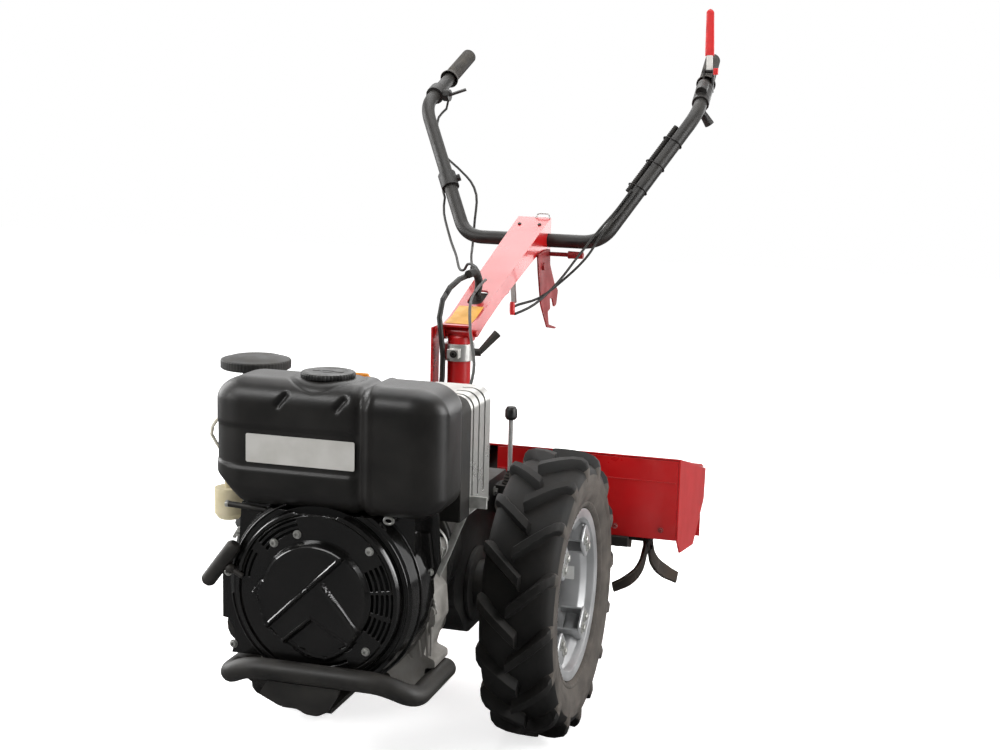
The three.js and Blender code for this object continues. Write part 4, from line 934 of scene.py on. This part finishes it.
def tank_surface(columns=190, rows=220):
    """A rounded rectangle in y and z carried along x. Near both ends it draws in on a quarter ellipse.
    Grooves, the nameplate band, the collar and two notches then move it along its own normal."""
    share = (1 - np.cos(np.linspace(0, np.pi, columns))) / 2
    share = 0.5 * share + 0.5 * np.linspace(0, 1, columns)
    x = tank_x[0] + (tank_x[1] - tank_x[0]) * share
    into = np.minimum(x - tank_x[0], tank_x[1] - x)
    draw = 44 * (1 - np.sqrt(np.clip(1 - (np.clip(end_depth - into, 0, None) / end_depth) ** 2, 0, 1)))
    half_y = (tank_y[1] - tank_y[0]) / 2 - section_corner
    half_z = (tank_z[1] - tank_z[0]) / 2 - section_corner
    runs = np.array([half_y * 2, section_corner * np.pi / 2, half_z * 2, section_corner * np.pi / 2] * 2)
    edge = np.concatenate([[0], np.cumsum(runs)])
    at = np.arange(rows) / rows * edge[-1]
    piece = np.searchsorted(edge, at, side="right") - 1
    within = (at - edge[piece]) / runs[piece]
    quarter = piece // 2
    turn = np.where(piece % 2 == 1, quarter + within, quarter) * np.pi / 2 - np.pi / 2
    normal_y, normal_z = np.cos(turn), np.sin(turn)
    starts = np.array([(-1, -1), (1, -1), (1, 1), (-1, 1)], float)
    centre = starts[(quarter + (piece % 2 == 1)) % 4]
    straight = piece % 2 == 0
    ahead = starts[(quarter + 1) % 4]
    centre = np.where(straight[:, None], starts[quarter] + (ahead - starts[quarter]) * within[:, None],
                      centre)
    core_y, core_z = centre[:, 0] * half_y, centre[:, 1] * half_z
    radius = section_corner - draw[:, None]
    shrink_y = 1 - np.clip(-radius, 0, None) / half_y
    shrink_z = 1 - np.clip(-radius, 0, None) / half_z
    radius = np.clip(radius, 0, None)
    middle_y, middle_z = sum(tank_y) / 2, sum(tank_z) / 2
    y = middle_y + core_y * shrink_y + normal_y * radius
    z = middle_z + core_z * shrink_z + normal_z * radius
    x = np.repeat(x[:, None], rows, axis=1)
    front, top = np.clip(-normal_y, 0, 1), np.clip(normal_z, 0, 1)
    upright = 1 - np.abs(normal_z) ** 3
    groove = 6.5 * np.exp(-((x - 64) / 8.5) ** 2) - 1.8 * np.exp(-((x - 82) / 5) ** 2)
    band = 3.6 * eased((z - 611) / 7) * eased((690 - z) / 9) * eased((63 - x) / 7) * upright
    bulge = -1.6 * np.cos((z - middle_z) / 70) * front * eased((54 - x) / 40) + 1.6 * front
    from_cap = np.hypot(x - cap_x, y - cap_y)
    groove_round_cap = eased((66 - from_cap) / 4) * eased((from_cap - 60) / 4)
    collar = (2.6 * groove_round_cap - 1.6 * eased((62 - from_cap) / 8)) * top
    notches = 0
    for foot_x in (-82, 22):
        across = (x - foot_x) * 0.8 - (z - 722) * 0.6
        run = (x - foot_x) * 0.6 + (z - 722) * 0.8
        length = eased((run + 2) / 6) * eased((34 - run) / 8)
        notches = notches + 6.5 * np.exp(-(across / 4.2) ** 2) * length * front ** 0.2
    inward = groove * eased(into[:, None] / 30) + band + bulge * 0.6 + collar + notches
    low = np.clip(1 - (z - tank_z[0]) / 90, 0, 1)
    z = z + 34 * eased((-140 - x) / 62) * low ** 1.3
    y, z = y - normal_y * inward, z - normal_z * inward
    return np.stack([x, y, z], -1).reshape(-1, 3), tube_faces(columns, rows)


add_piece("fuel_tank_body", tank_surface(), tank_plastic, "chassis", ["fuel_tank"], 60)
plate_middle, plate_half = (-39.3, 649.8), (97.3, 24.4)
plate_place = (plate_middle[0], tank_y[0] + 3.4, plate_middle[1])
plate = set_on(rounded_plate(plate_half, 3, 0.7), plate_place, (1, 0, 0), (0, 0, 1))
plate_silver = finish("plate_silver", "#d3d1cc", "#c6c4be", 0.32, 0.25, broad=20, fine=1400, grain=0.00001,
                      dusty=None)
add_piece("tank_nameplate", plate, plate_silver, "chassis")

# The cap is moulded black plastic with upright ribs, and clips over the collar.
cap_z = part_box("fuel_cap")[0].z / MM
cap_rings = [(0, 0.4), (43, 0.4), (45.5, 1.5), (46, 3), (46, 7.5), (44.5, 10), (40, 11), (34, 11),
             (32.5, 10.2), (12, 10.2), (11, 11), (0, 11)]
points, faces = turned(cap_rings, "Z", (0, 0, 0), 288, closed=False)
angle = np.arctan2(points[:, 1], points[:, 0])
rim_part = np.hypot(points[:, 0], points[:, 1]) > 43.5
points[:, :2] *= np.where(rim_part, 1 - 0.018 * (np.cos(48 * angle) < 0), 1)[:, None]
points, faces = joined((points, faces), slab((-28, 28), (-3, 3), (10, 11), 2))
add_piece("fuel_cap_ribbed", (points + (cap_x, cap_y, cap_z), faces), knob_black, "chassis",
          ["fuel_cap"], 30)

# ---- Air cleaner, fuel cup and hose ----------------------------------------
# A moulded box on the engine's right with a cyclone pre-cleaner on its lid, and
# the cream cup of the fuel strainer with its hose up to the tank.
filter_black = finish("filter_plastic", "#1a1a19", "#242322", 0.5, broad=30, fine=800, grain=0.00009,
                      dusty=("#6b645a", 0.25), worn_and_sheen=("#454240", 0.3))
softened("air_filter_box", "air_cleaner_box", filter_black, 1.6)
seam = slab((-274, -110), (-387, -223), (640, 646), 16)
box_ribs = [slab((-273.4, -270), (y, y + 3), (552, 636), 1) for y in np.arange(-370, -240, 16)]
box_ribs += [slab((x, x + 3), (-386.8, -384), (552, 636), 1) for x in np.arange(-258, -124, 16)]
add_piece("air_cleaner_ribs", joined(seam, *box_ribs), filter_black, "chassis")
clips = []
for x in (-246, -150):
    clips.append(swept(rounded_path([(x, -389, 622), (x, -389.5, 652), (x, -386, 664)], 4), 1.5, 10,
                       (1, 0, 0)))
for y in (-345, -265):
    clips.append(swept(rounded_path([(-276, y, 622), (-276, y, 652), (-273, y, 664)], 4), 1.5, 10, (0, 1, 0)))
add_piece("air_cleaner_clips", joined(*clips), zinc, "chassis")
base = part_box("pre_cleaner")[0].z / MM
cleaner_rings = [(0, 0), (30, 0), (30, 5), (24, 8), (24, 17), (30, 20), (50, 21.5), (61, 23), (64, 25),
                 (64, 38),
                 (62.5, 40), (57, 41.5), (52, 42), (46, 44.6), (30, 46.6), (14, 47.4), (0, 47.6)]
points, faces = turned(cleaner_rings, "Z", (0, 0, 0), 360, closed=False)
angle = np.arctan2(points[:, 1], points[:, 0])
far = np.hypot(points[:, 0], points[:, 1]) > 62
points[:, :2] *= np.where(far, 1 - 0.007 * (np.cos(60 * angle) < -0.3), 1)[:, None]
add_piece("pre_cleaner_bowl", (points + (-238, -300.3, base), faces), filter_black, "chassis",
          ["pre_cleaner"], 30)
cup_cream = finish("cup_cream", "#d6cbab", "#c9bd99", 0.4, broad=40, fine=600, grain=0.00004,
                   dusty=("#8f8778", 0.3))
softened("fuel_filter", "fuel_strainer_cup", cup_cream, 2.0, crease=60)
hose_clear = finish("hose_clear", "#cfcabc", "#bfb8a6", 0.3, broad=60, fine=500, grain=0.00003, dusty=None,
                    coat=0.3)
softened("fuel_hose", "fuel_strainer_hose", hose_clear, 0.2, keep=60, crease=70)

# ---- Silencer and its guard ------------------------------------------------
# The silencer is welded sheet. Its guard is one bent, plated sheet with slots
# that wrap over the top, behind a black front band.
guard_bright = finish("guard_plated", "#d9d8d4", "#c6c5c1", 0.25, 0.75, broad=16, fine=1200, grain=0.00003,
                      dusty=("#7a7369", 0.15), worn_and_sheen=("#f2f2f0", 0.3))
heat_black = finish("heat_black", "#161514", "#26231f", 0.55, 0.3, broad=20, fine=500, grain=0.00015,
                    dusty=("#5c564d", 0.2))
softened("muffler_guard", "silencer_guard", guard_bright, 0.6)
softened("muffler", "silencer_body", heat_black, 1.5)
guard_x, guard_z, guard_y, guard_corner = 192.0, (516.0, 726.0), (-408.4, -356.0), 26.0
turn = np.linspace(0, np.pi / 2, 14)
outline = np.concatenate([
    [(guard_x, guard_z[0])], np.stack([guard_x - guard_corner + guard_corner * np.cos(turn),
                                       guard_z[1] - guard_corner + guard_corner * np.sin(turn)], -1),
                                       [(88, guard_z[1])]])
outward = np.concatenate([[(1, 0)], np.stack([np.cos(turn), np.sin(turn)], -1), [(0, 1)]])
rings = [np.insert(outline + outward * lift, 1, y, axis=1)
         for lift, y in ((0.3, guard_y[0]), (1.3, guard_y[0]), (1.3, guard_y[1]), (0.2, guard_y[1]))]
wrap_shape = (np.stack(rings, 1).reshape(-1, 3), tube_faces(len(outline), 4))
front_face = np.concatenate([[(88, guard_z[0])], outline])
front = [np.insert(front_face, 1, y, axis=1) for y in (guard_y[0] - 1, guard_y[0] + 0.2)]
front_shape = (np.concatenate(front), tube_faces(2, len(front_face)))
add_piece("silencer_front_band", joined(wrap_shape, front_shape), heat_black, "chassis")

# ---- Handlebar column ------------------------------------------------------
# A welded red turret on the gearbox. A plated band clamps its swivel, and the
# black lever beside it lets the column turn.
red_paint = finish("red_paint", "#c20d12", "#b30a0f", 0.26, broad=7, fine=700, grain=0.00004,
                   dusty=("#a07a6d", 0.12), worn_and_sheen=("#5b1a17", 0.25), coat=0.35, gloss=0.5, play_by=0.08)
softened("column_base", "column_turret", red_paint, 1.5)
head_y, hinge_z = 165.0, 756.0
swivel = joined(
    turned([(0, 718), (23, 718), (24, 719), (24, 748), (20, 752), (0, 752)], "Z", (0, head_y, 0), 64,
           closed=False),
    turned([(0, -26), (11, -26), (12, -25), (12, 25), (11, 26), (0, 26)], "X", (0, head_y, hinge_z), 40,
           closed=False),
    turned([(0, -39), (6, -39), (7, -38), (7, 38), (6, 39), (0, 39)], "X", (0, head_y, hinge_z), 32,
           closed=False))
add_piece("column_swivel_head", swivel, red_paint, "column", ["column_head"])
softened("column_band", "column_clamp_band", guard_bright, 1.0)
softened("column_lever", "column_release_lever", handle_black, 1.6, crease=60)
cheek = slab((-46, -43.5), (118, 166), (484.5, 770), 1)
add_piece("turret_side_plate", cheek, red_paint, "chassis")
add_piece("clamp_screw", socket_screws([(2, 120.2, 717.5)], (0, -1, 0)), turned_steel, "chassis")

# ---- Handlebar arm ---------------------------------------------------------
# Folded sheet, open below, painted red, with a blank label at its foot, two
# screws over the handlebar and a wire bail at its end.
softened("handlebar_arm", "handlebar_arm_channel", red_paint, 2.0)
ridge_y = np.array([141, 190, 240, 347, 600, 660, 722], float)
ridge_z = np.array([774, 784, 800, 837, 918, 937.5, 957.5], float)


def sheet_on_arm(half_width, start, stop, lift=0.25, thick=0.5, rows=24):
    """A thin sheet whose length follows the arm's ridge line, a little above it."""
    y = np.linspace(start, stop, rows)
    z = np.interp(y, ridge_y, ridge_z)
    ring = np.array([(-half_width, lift), (half_width, lift), (half_width, lift + thick),
                     (-half_width, lift + thick)])
    across = np.broadcast_to(ring[:, 0], (rows, 4))
    points = np.stack([across, np.repeat(y[:, None], 4, 1), z[:, None] + ring[:, 1]], -1)
    return points.reshape(-1, 3), tube_faces(rows, 4)


# A thin black rubber sheet under the arm's oval hole is painted shade: through the hole it reads dark.
add_piece("arm_hole_shade_sheet", sheet_on_arm(20, 248, 322, lift=-9.0, thick=1.0), rubber_black, "handlebars")
label_yellow = finish("label_yellow", "#e2a52b", "#d99a22", 0.4, broad=30, grain=0.00001,
                      dusty=("#8f8778", 0.15))
add_piece("arm_label", sheet_on_arm(27, 150, 242), label_yellow, "handlebars")
arm_top = np.array([0, -0.31, 0.95])
screws = [(x, 676, float(np.interp(676, ridge_y, ridge_z)) + 0.4) for x in (-24, 24)]
small_rings = [(4.4, 0), (4.4, 1.6), (3.6, 2.6), (1.8, 2.6), (1.8, 1.2), (0, 1.2)]
add_piece("arm_screws", heads_at(screws, arm_top, small_rings, 28), turned_steel, "handlebars")
bail = rounded_path([(4, 716, 955), (8, 721, 966), (34, 721, 966), (38, 716, 955)], 5)
add_piece("arm_bail", swept(bail, 1.6, 12, (0, 1, 0.2)), zinc, "handlebars")

# ---- Handlebar and grips ---------------------------------------------------
# One steel tube bent four times and powder coated; ribbed rubber grips are
# pushed over its two ends.
bar_low, bar_bend, bar_end = (165, 704.3, 905.5), (343, 911.3, 1207), (325, 1198.3, 1337)
half_bar = [bar_end, bar_bend, bar_low]
corners = half_bar + [(-x, y, z) for x, y, z in reversed(half_bar)]
add_piece("handlebar_tube", swept(rounded_path(corners, 45, 14), 16, 40, (0, -0.45, 1)), powder_black,
          "handlebars",
          ["handlebar"])
grip_rubber = finish("grip_rubber", "#2a2827", "#38352f", 0.55, broad=40, fine=700, grain=0.0001,
                     dusty=("#8a8378", 0.35))
for side, sign in (("left", 1), ("right", -1)):
    end, bend = np.array(bar_end, float) * (sign, 1, 1), np.array(bar_bend, float) * (sign, 1, 1)
    back = (bend - end) / np.linalg.norm(bend - end)
    at = np.concatenate([[-4, -3.4, -2], np.linspace(0, 138, 139), [140, 141, 147, 148.5, 150, 150]])
    ribs = 18.2 + 0.9 * (np.cos(at * 2 * np.pi / 7) > 0)
    ribs[:3], ribs[-6:] = (12, 15.5, 17.6), (19, 22.5, 24, 24, 23, 17)
    add_piece(f"{side}_grip", swept(end + back * at[:, None], ribs, 40, (0, -0.45, 1)), grip_rubber,
              "handlebars",
              [f"grip_{side}"], 30)

# ---- Controls on the handlebar ---------------------------------------------
# Moulded black clamps and levers, a corrugated sleeve over the two cables on
# the left, and the red stop lever that stands above the left grip.
control_black = finish("control_plastic", "#171615", "#232120", 0.42, broad=50, fine=900, grain=0.00008,
                       dusty=("#6b645a", 0.15), worn_and_sheen=("#4a4744", 0.4))
for node_name, piece_name in (("bar_clamp", "bar_clamp_block"), ("throttle_lever", "throttle_control"),
                              ("lever_cluster", "left_control_block"), ("clutch_lever", "clutch_control")):
    softened(node_name, piece_name, control_black, 1.4, crease=55)
bracket_red = finish("bracket_red", "#8d1013", "#7c0d10", 0.5, broad=20, fine=700, grain=0.00006,
                     dusty=("#8f6a5d", 0.1),
                     worn_and_sheen=("#d8d4cf", 0.7), gloss=0.3)
softened("hook_bracket", "arm_hook_bracket", bracket_red, 0.9)
bar_up = np.array(bar_bend) - np.array(bar_low)
bar_up = bar_up / np.linalg.norm(bar_up)
inward = np.array([-1.0, 0, 0]) + bar_up * bar_up[0]
inward = inward / np.linalg.norm(inward)


def beside_bar(share, offset):
    """A place beside the left upright run of the bar: its share of the run, and its distance inwards."""
    run = np.array(bar_bend) - np.array(bar_low)
    return np.array(bar_low) + run * np.asarray(share)[..., None] + inward * offset


sleeve_run = beside_bar(np.linspace(0.36, 0.86, 220), 23.3)
corrugated = 6.4 + 0.9 * np.cos(np.arange(220) * 2 * np.pi / 5.5)
add_piece("cable_sleeve_ribbed", swept(sleeve_run, corrugated, 20, (0, -0.45, 1)), rubber_black, "handlebars",
          ["cable_sleeve"], 60)
tie_shapes = []
for share in (0.40, 0.58, 0.76):
    ring_centre = beside_bar(np.array(share), 0.0)
    turn = np.arange(49) / 48 * 2 * np.pi
    side_axis = np.cross(bar_up, inward)
    reach = 17.2 + 14.5 * np.clip(np.cos(turn), 0, 1) ** 3
    round_bar = np.cos(turn)[:, None] * inward + np.sin(turn)[:, None] * side_axis
    loop = ring_centre + reach[:, None] * round_bar
    tie_shapes.append(swept(loop, 1, 8, bar_up, (1.8, 0.7)))
add_piece("cable_ties", joined(*tie_shapes), control_black, "handlebars")

lever_red = finish("lever_red", "#cf1a1c", "#c01416", 0.4, broad=40, fine=700, grain=0.00006,
                   dusty=("#a07a6d", 0.1), coat=0.15)
lever_white = finish("lever_white", "#dcdad6", "#cfcdc8", 0.4, broad=40, fine=700, grain=0.00004,
                     dusty=("#8f8778", 0.15))
blade_run = np.linspace((338.6, 1070, 1346), (333, 1084, 1459.4), 40)
share = np.linspace(0, 1, 40)
width = 10.2 * np.minimum(1, np.sqrt(np.clip(1 - (share - 0.93) / 0.07, 0.02, 1))) + 0.8 * np.cos(share * 3)
stick = swept(blade_run, 1, 28, (0, 1, 0), (1, 1))
centre = np.repeat(blade_run, 28, axis=0)
offset = stick[0] - centre
scale = np.repeat(width, 28)[:, None] * np.array([1, 0.42, 1])
add_piece("stop_lever_handle", (centre + offset * scale, stick[1]), lever_red, "handlebars",
          ["stop_lever"])
neck = swept(np.linspace((341, 1063, 1308), (338.6, 1070, 1350), 10), 1, 20, (0, 1, 0), (7.5, 3.2))
add_piece("stop_lever_bracket", neck, lever_white, "handlebars")
end, bend = np.array(bar_end), np.array(bar_bend)
handle_axis = (end - bend) / np.linalg.norm(end - bend)
ring_run = bend + handle_axis * np.linspace(124, 144, 9)[:, None]
stop_ring = swept(ring_run, [19.5, 21, 21, 21, 21, 21, 21, 21, 19.5], 32, (0, -0.45, 1))
fork = [swept(np.linspace((x, 1052, 1258), (x, 1062, 1312), 8), 1, 16, (1, 0, 0), (8, 2.4))
        for x in (329, 352)]
fork.append(swept(np.linspace((324, 1061, 1308), (357, 1061, 1308), 8), 4.2, 16))
add_piece("stop_lever_fork", joined(stop_ring, *fork), control_black, "handlebars")
add_piece("stop_switch_tab", slab((352, 364), (1050, 1060), (1300, 1316), 2), lever_red, "handlebars")

# ---- Cables ----------------------------------------------------------------
# Wire cables in black sleeving, each held at both ends. The clutch and brake
# cables end at a bent plate and a red pin behind the arm.
cable_black = finish("cable_black", "#161615", "#24231f", 0.4, broad=60, fine=900, grain=0.00004,
                     dusty=("#6b645a", 0.15))
anchor_y = 508.0              # where the clutch and brake cables end


def cut_at(piece, y, keep_front):
    """Keeps the part in front of a plane square to Y, or the part behind it, and closes the cut."""
    shape = bmesh.new()
    shape.from_mesh(piece.data)
    place = frame_points((0, y, 0)).tolist()
    bmesh.ops.bisect_plane(shape, geom=[*shape.verts, *shape.edges, *shape.faces], dist=1e-6, plane_co=place,
                           plane_no=(0, 1, 0), clear_outer=keep_front, clear_inner=not keep_front)
    bmesh.ops.holes_fill(shape, edges=[edge for edge in shape.edges if edge.is_boundary], sides=0)
    bmesh.ops.recalc_face_normals(shape, faces=shape.faces)
    shape.to_mesh(piece.data)
    shape.free()


for node_name in ("throttle_cable", "stop_cable", "clutch_cable", "brake_cable"):
    sheath = softened(node_name, f"{node_name}_sheath", cable_black, 0.2, keep=60, crease=75)
    if node_name in ("clutch_cable", "brake_cable"):
        cut_at(sheath, anchor_y, False)
anchor = set_on(rounded_plate((9, 50), 3, 3), (12, 512, 826), (0.8, -0.6, 0), (0, -0.25, 1))
add_piece("cable_anchor_plate", anchor, zinc, "handlebars")
anchor_pin = swept(np.linspace((13, 506, 752), (12, 507, 781), 6), [5, 6, 6, 6, 6, 5], 20, (0, 1, 0))
add_piece("cable_anchor_pin", anchor_pin, lever_red, "handlebars")

# ---- Tiller casing and rotor -----------------------------------------------
# A cast chain housing carries the rotor's shaft. Forged tines are bolted to round
# flanges on it and bend over smoothly to their tips.
softened("tiller_casing", "tiller_chain_housing", cast_iron, 2.4)
tine_steel = finish("tine_steel", "#26211d", "#3a322c", 0.5, 0.5, broad=22, fine=420, grain=0.0003,
                    dusty=("#6d5b4b", 0.35), worn_and_sheen=("#948b82", 0.7))
rotor_y, rotor_z, rotor_radius = 528.0, 268.0, 161.0
flange_places, shaft_half = (100, 220, 340), 348.0


def tine(x, toward, turn):
    """A flat bar carried out from the flange and round a smooth bend towards its side, then turned
    about the shaft."""
    out = np.array([(0, 22), (0, 92), (18 * toward, 128), (52 * toward, rotor_radius - 9)], float)
    bendy = rounded_path(np.column_stack([out[:, 0], np.zeros(4), out[:, 1]]), 24, 8)
    half = np.interp(np.linspace(0, 1, len(bendy)), [0, 0.8, 1], [17, 18.5, 15])
    along = np.gradient(bendy, axis=0)
    along /= np.linalg.norm(along, axis=1, keepdims=True)
    thick = np.cross(along, (0, 1, 0))
    corner = np.array([(-1, -0.55), (-0.92, -1), (0.92, -1), (1, -0.55), (1, 0.55), (0.92, 1), (-0.92, 1),
                       (-1, 0.55)])
    points = bendy[:, None] + np.array([0, 1, 0]) * (corner[:, 0] * half[:, None])[..., None] \
        + thick[:, None] * (corner[:, 1] * 3.8)[None, :, None]
    points = points.reshape(-1, 3)
    spin = np.array([[1, 0, 0], [0, math.cos(turn), math.sin(turn)], [0, -math.sin(turn), math.cos(turn)]])
    return points @ spin + (x, rotor_y, rotor_z), tube_faces(len(bendy), 8)


rotor_shapes = [turned([(0, -shaft_half), (15, -shaft_half), (15, shaft_half), (0, shaft_half)], "X",
                       (0, rotor_y, rotor_z), 40, closed=False)]
tine_bolts = []
for sign in (1, -1):
    for index, offset in enumerate(flange_places):
        x = sign * offset
        plate = [(0, -6), (32.5, -6), (34, -4.5), (34, 4.5), (32.5, 6), (0, 6)]
        rotor_shapes.append(turned(plate, "X", (x, rotor_y, rotor_z), 48, closed=False))
        for quarter in range(4):
            turn = quarter * np.pi / 2 + (2 - index) * np.pi / 6 + 0.21 * np.pi
            rotor_shapes.append(tine(x, -1 if quarter % 2 else 1, turn))
        for face in (1, -1):
            places = ring_of(4, 27, (x + face * 6, rotor_y, rotor_z), "X", (2 - index) * np.pi / 6)
            tine_bolts.append(bolt_heads(places, (face, 0, 0), 9, 5))
add_piece("rotor_with_tines", joined(*rotor_shapes), tine_steel, "tine_rotor", ["tine_rotor"],
          34)
add_piece("rotor_bolts", joined(*tine_bolts), turned_steel, "tine_rotor")

# ---- Tiller hood -----------------------------------------------------------
# Folded and bolted red sheet on two black beams, with pointed side plates, a
# hinged rear flap and the depth skid in a bracket behind the housing.
for name in ("hood_top", "hood_front_left", "hood_front_right", "side_plate_left", "side_plate_right"):
    softened(name, f"{name}_sheet", red_paint, 1.0)
softened("rear_flap", "rear_flap_sheet", red_paint, 0.6)
for side in ("left", "right"):
    softened(f"hood_beam_{side}", f"hood_beam_{side}_bar", powder_black, 1.2)
softened("depth_skid", "depth_skid_blade", powder_black, 1.2)
hood_screws = []
for sign in (1, -1):
    front_row = [(sign * x, 352.4, 330) for x in (60, 180, 300, 400)]
    hood_screws.append(bolt_heads(front_row, (0, -1, 0), 6.5, 3))
add_piece("hood_screws", joined(*hood_screws), bracket_red, "chassis")
folds = []
for sign in (1, -1):
    folds.append(swept(np.linspace((sign * 34, 352.0, 436), (sign * 428, 352.0, 436), 30), 1.3, 8, (0, 1, 0)))
add_piece("hood_folds", joined(*folds), red_paint, "chassis")

# ---- Cables at the joints --------------------------------------------------
# The engine's cables and the conduit rise to the column and lead on under the
# arm, sleeved like the others. Each is two lengths that meet over the swivel's
# axis, and a rubber boot guides the conduit out of the arm.
for node_name, low, high in (("engine_cables", (60, -60, 700), (20, 165, 845)),
                             ("cable_conduit", (-40, 150, 640), (-40, 150, 790))):
    riser = softened(node_name, f"{node_name}_riser", cable_black, 0.2, 60, 75, rides=False)
    lead = riser.copy()
    lead.name = f"{node_name}_lead"
    lead.data = riser.data.copy()
    bpy.context.scene.collection.objects.link(lead)
    cut_at(riser, head_y, True)
    cut_at(lead, head_y, False)
    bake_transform(riser)
    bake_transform(lead)

boot_run = rounded_path([(-8, 240, 868), (-3, 274, 871), (0, 287, 852), (0, 287, 812)], 14, 8)
add_piece("conduit_boot", swept(boot_run, np.linspace(8.6, 6.6, len(boot_run)), 20, (1, 0, 0)), rubber_black,
          "handlebars")
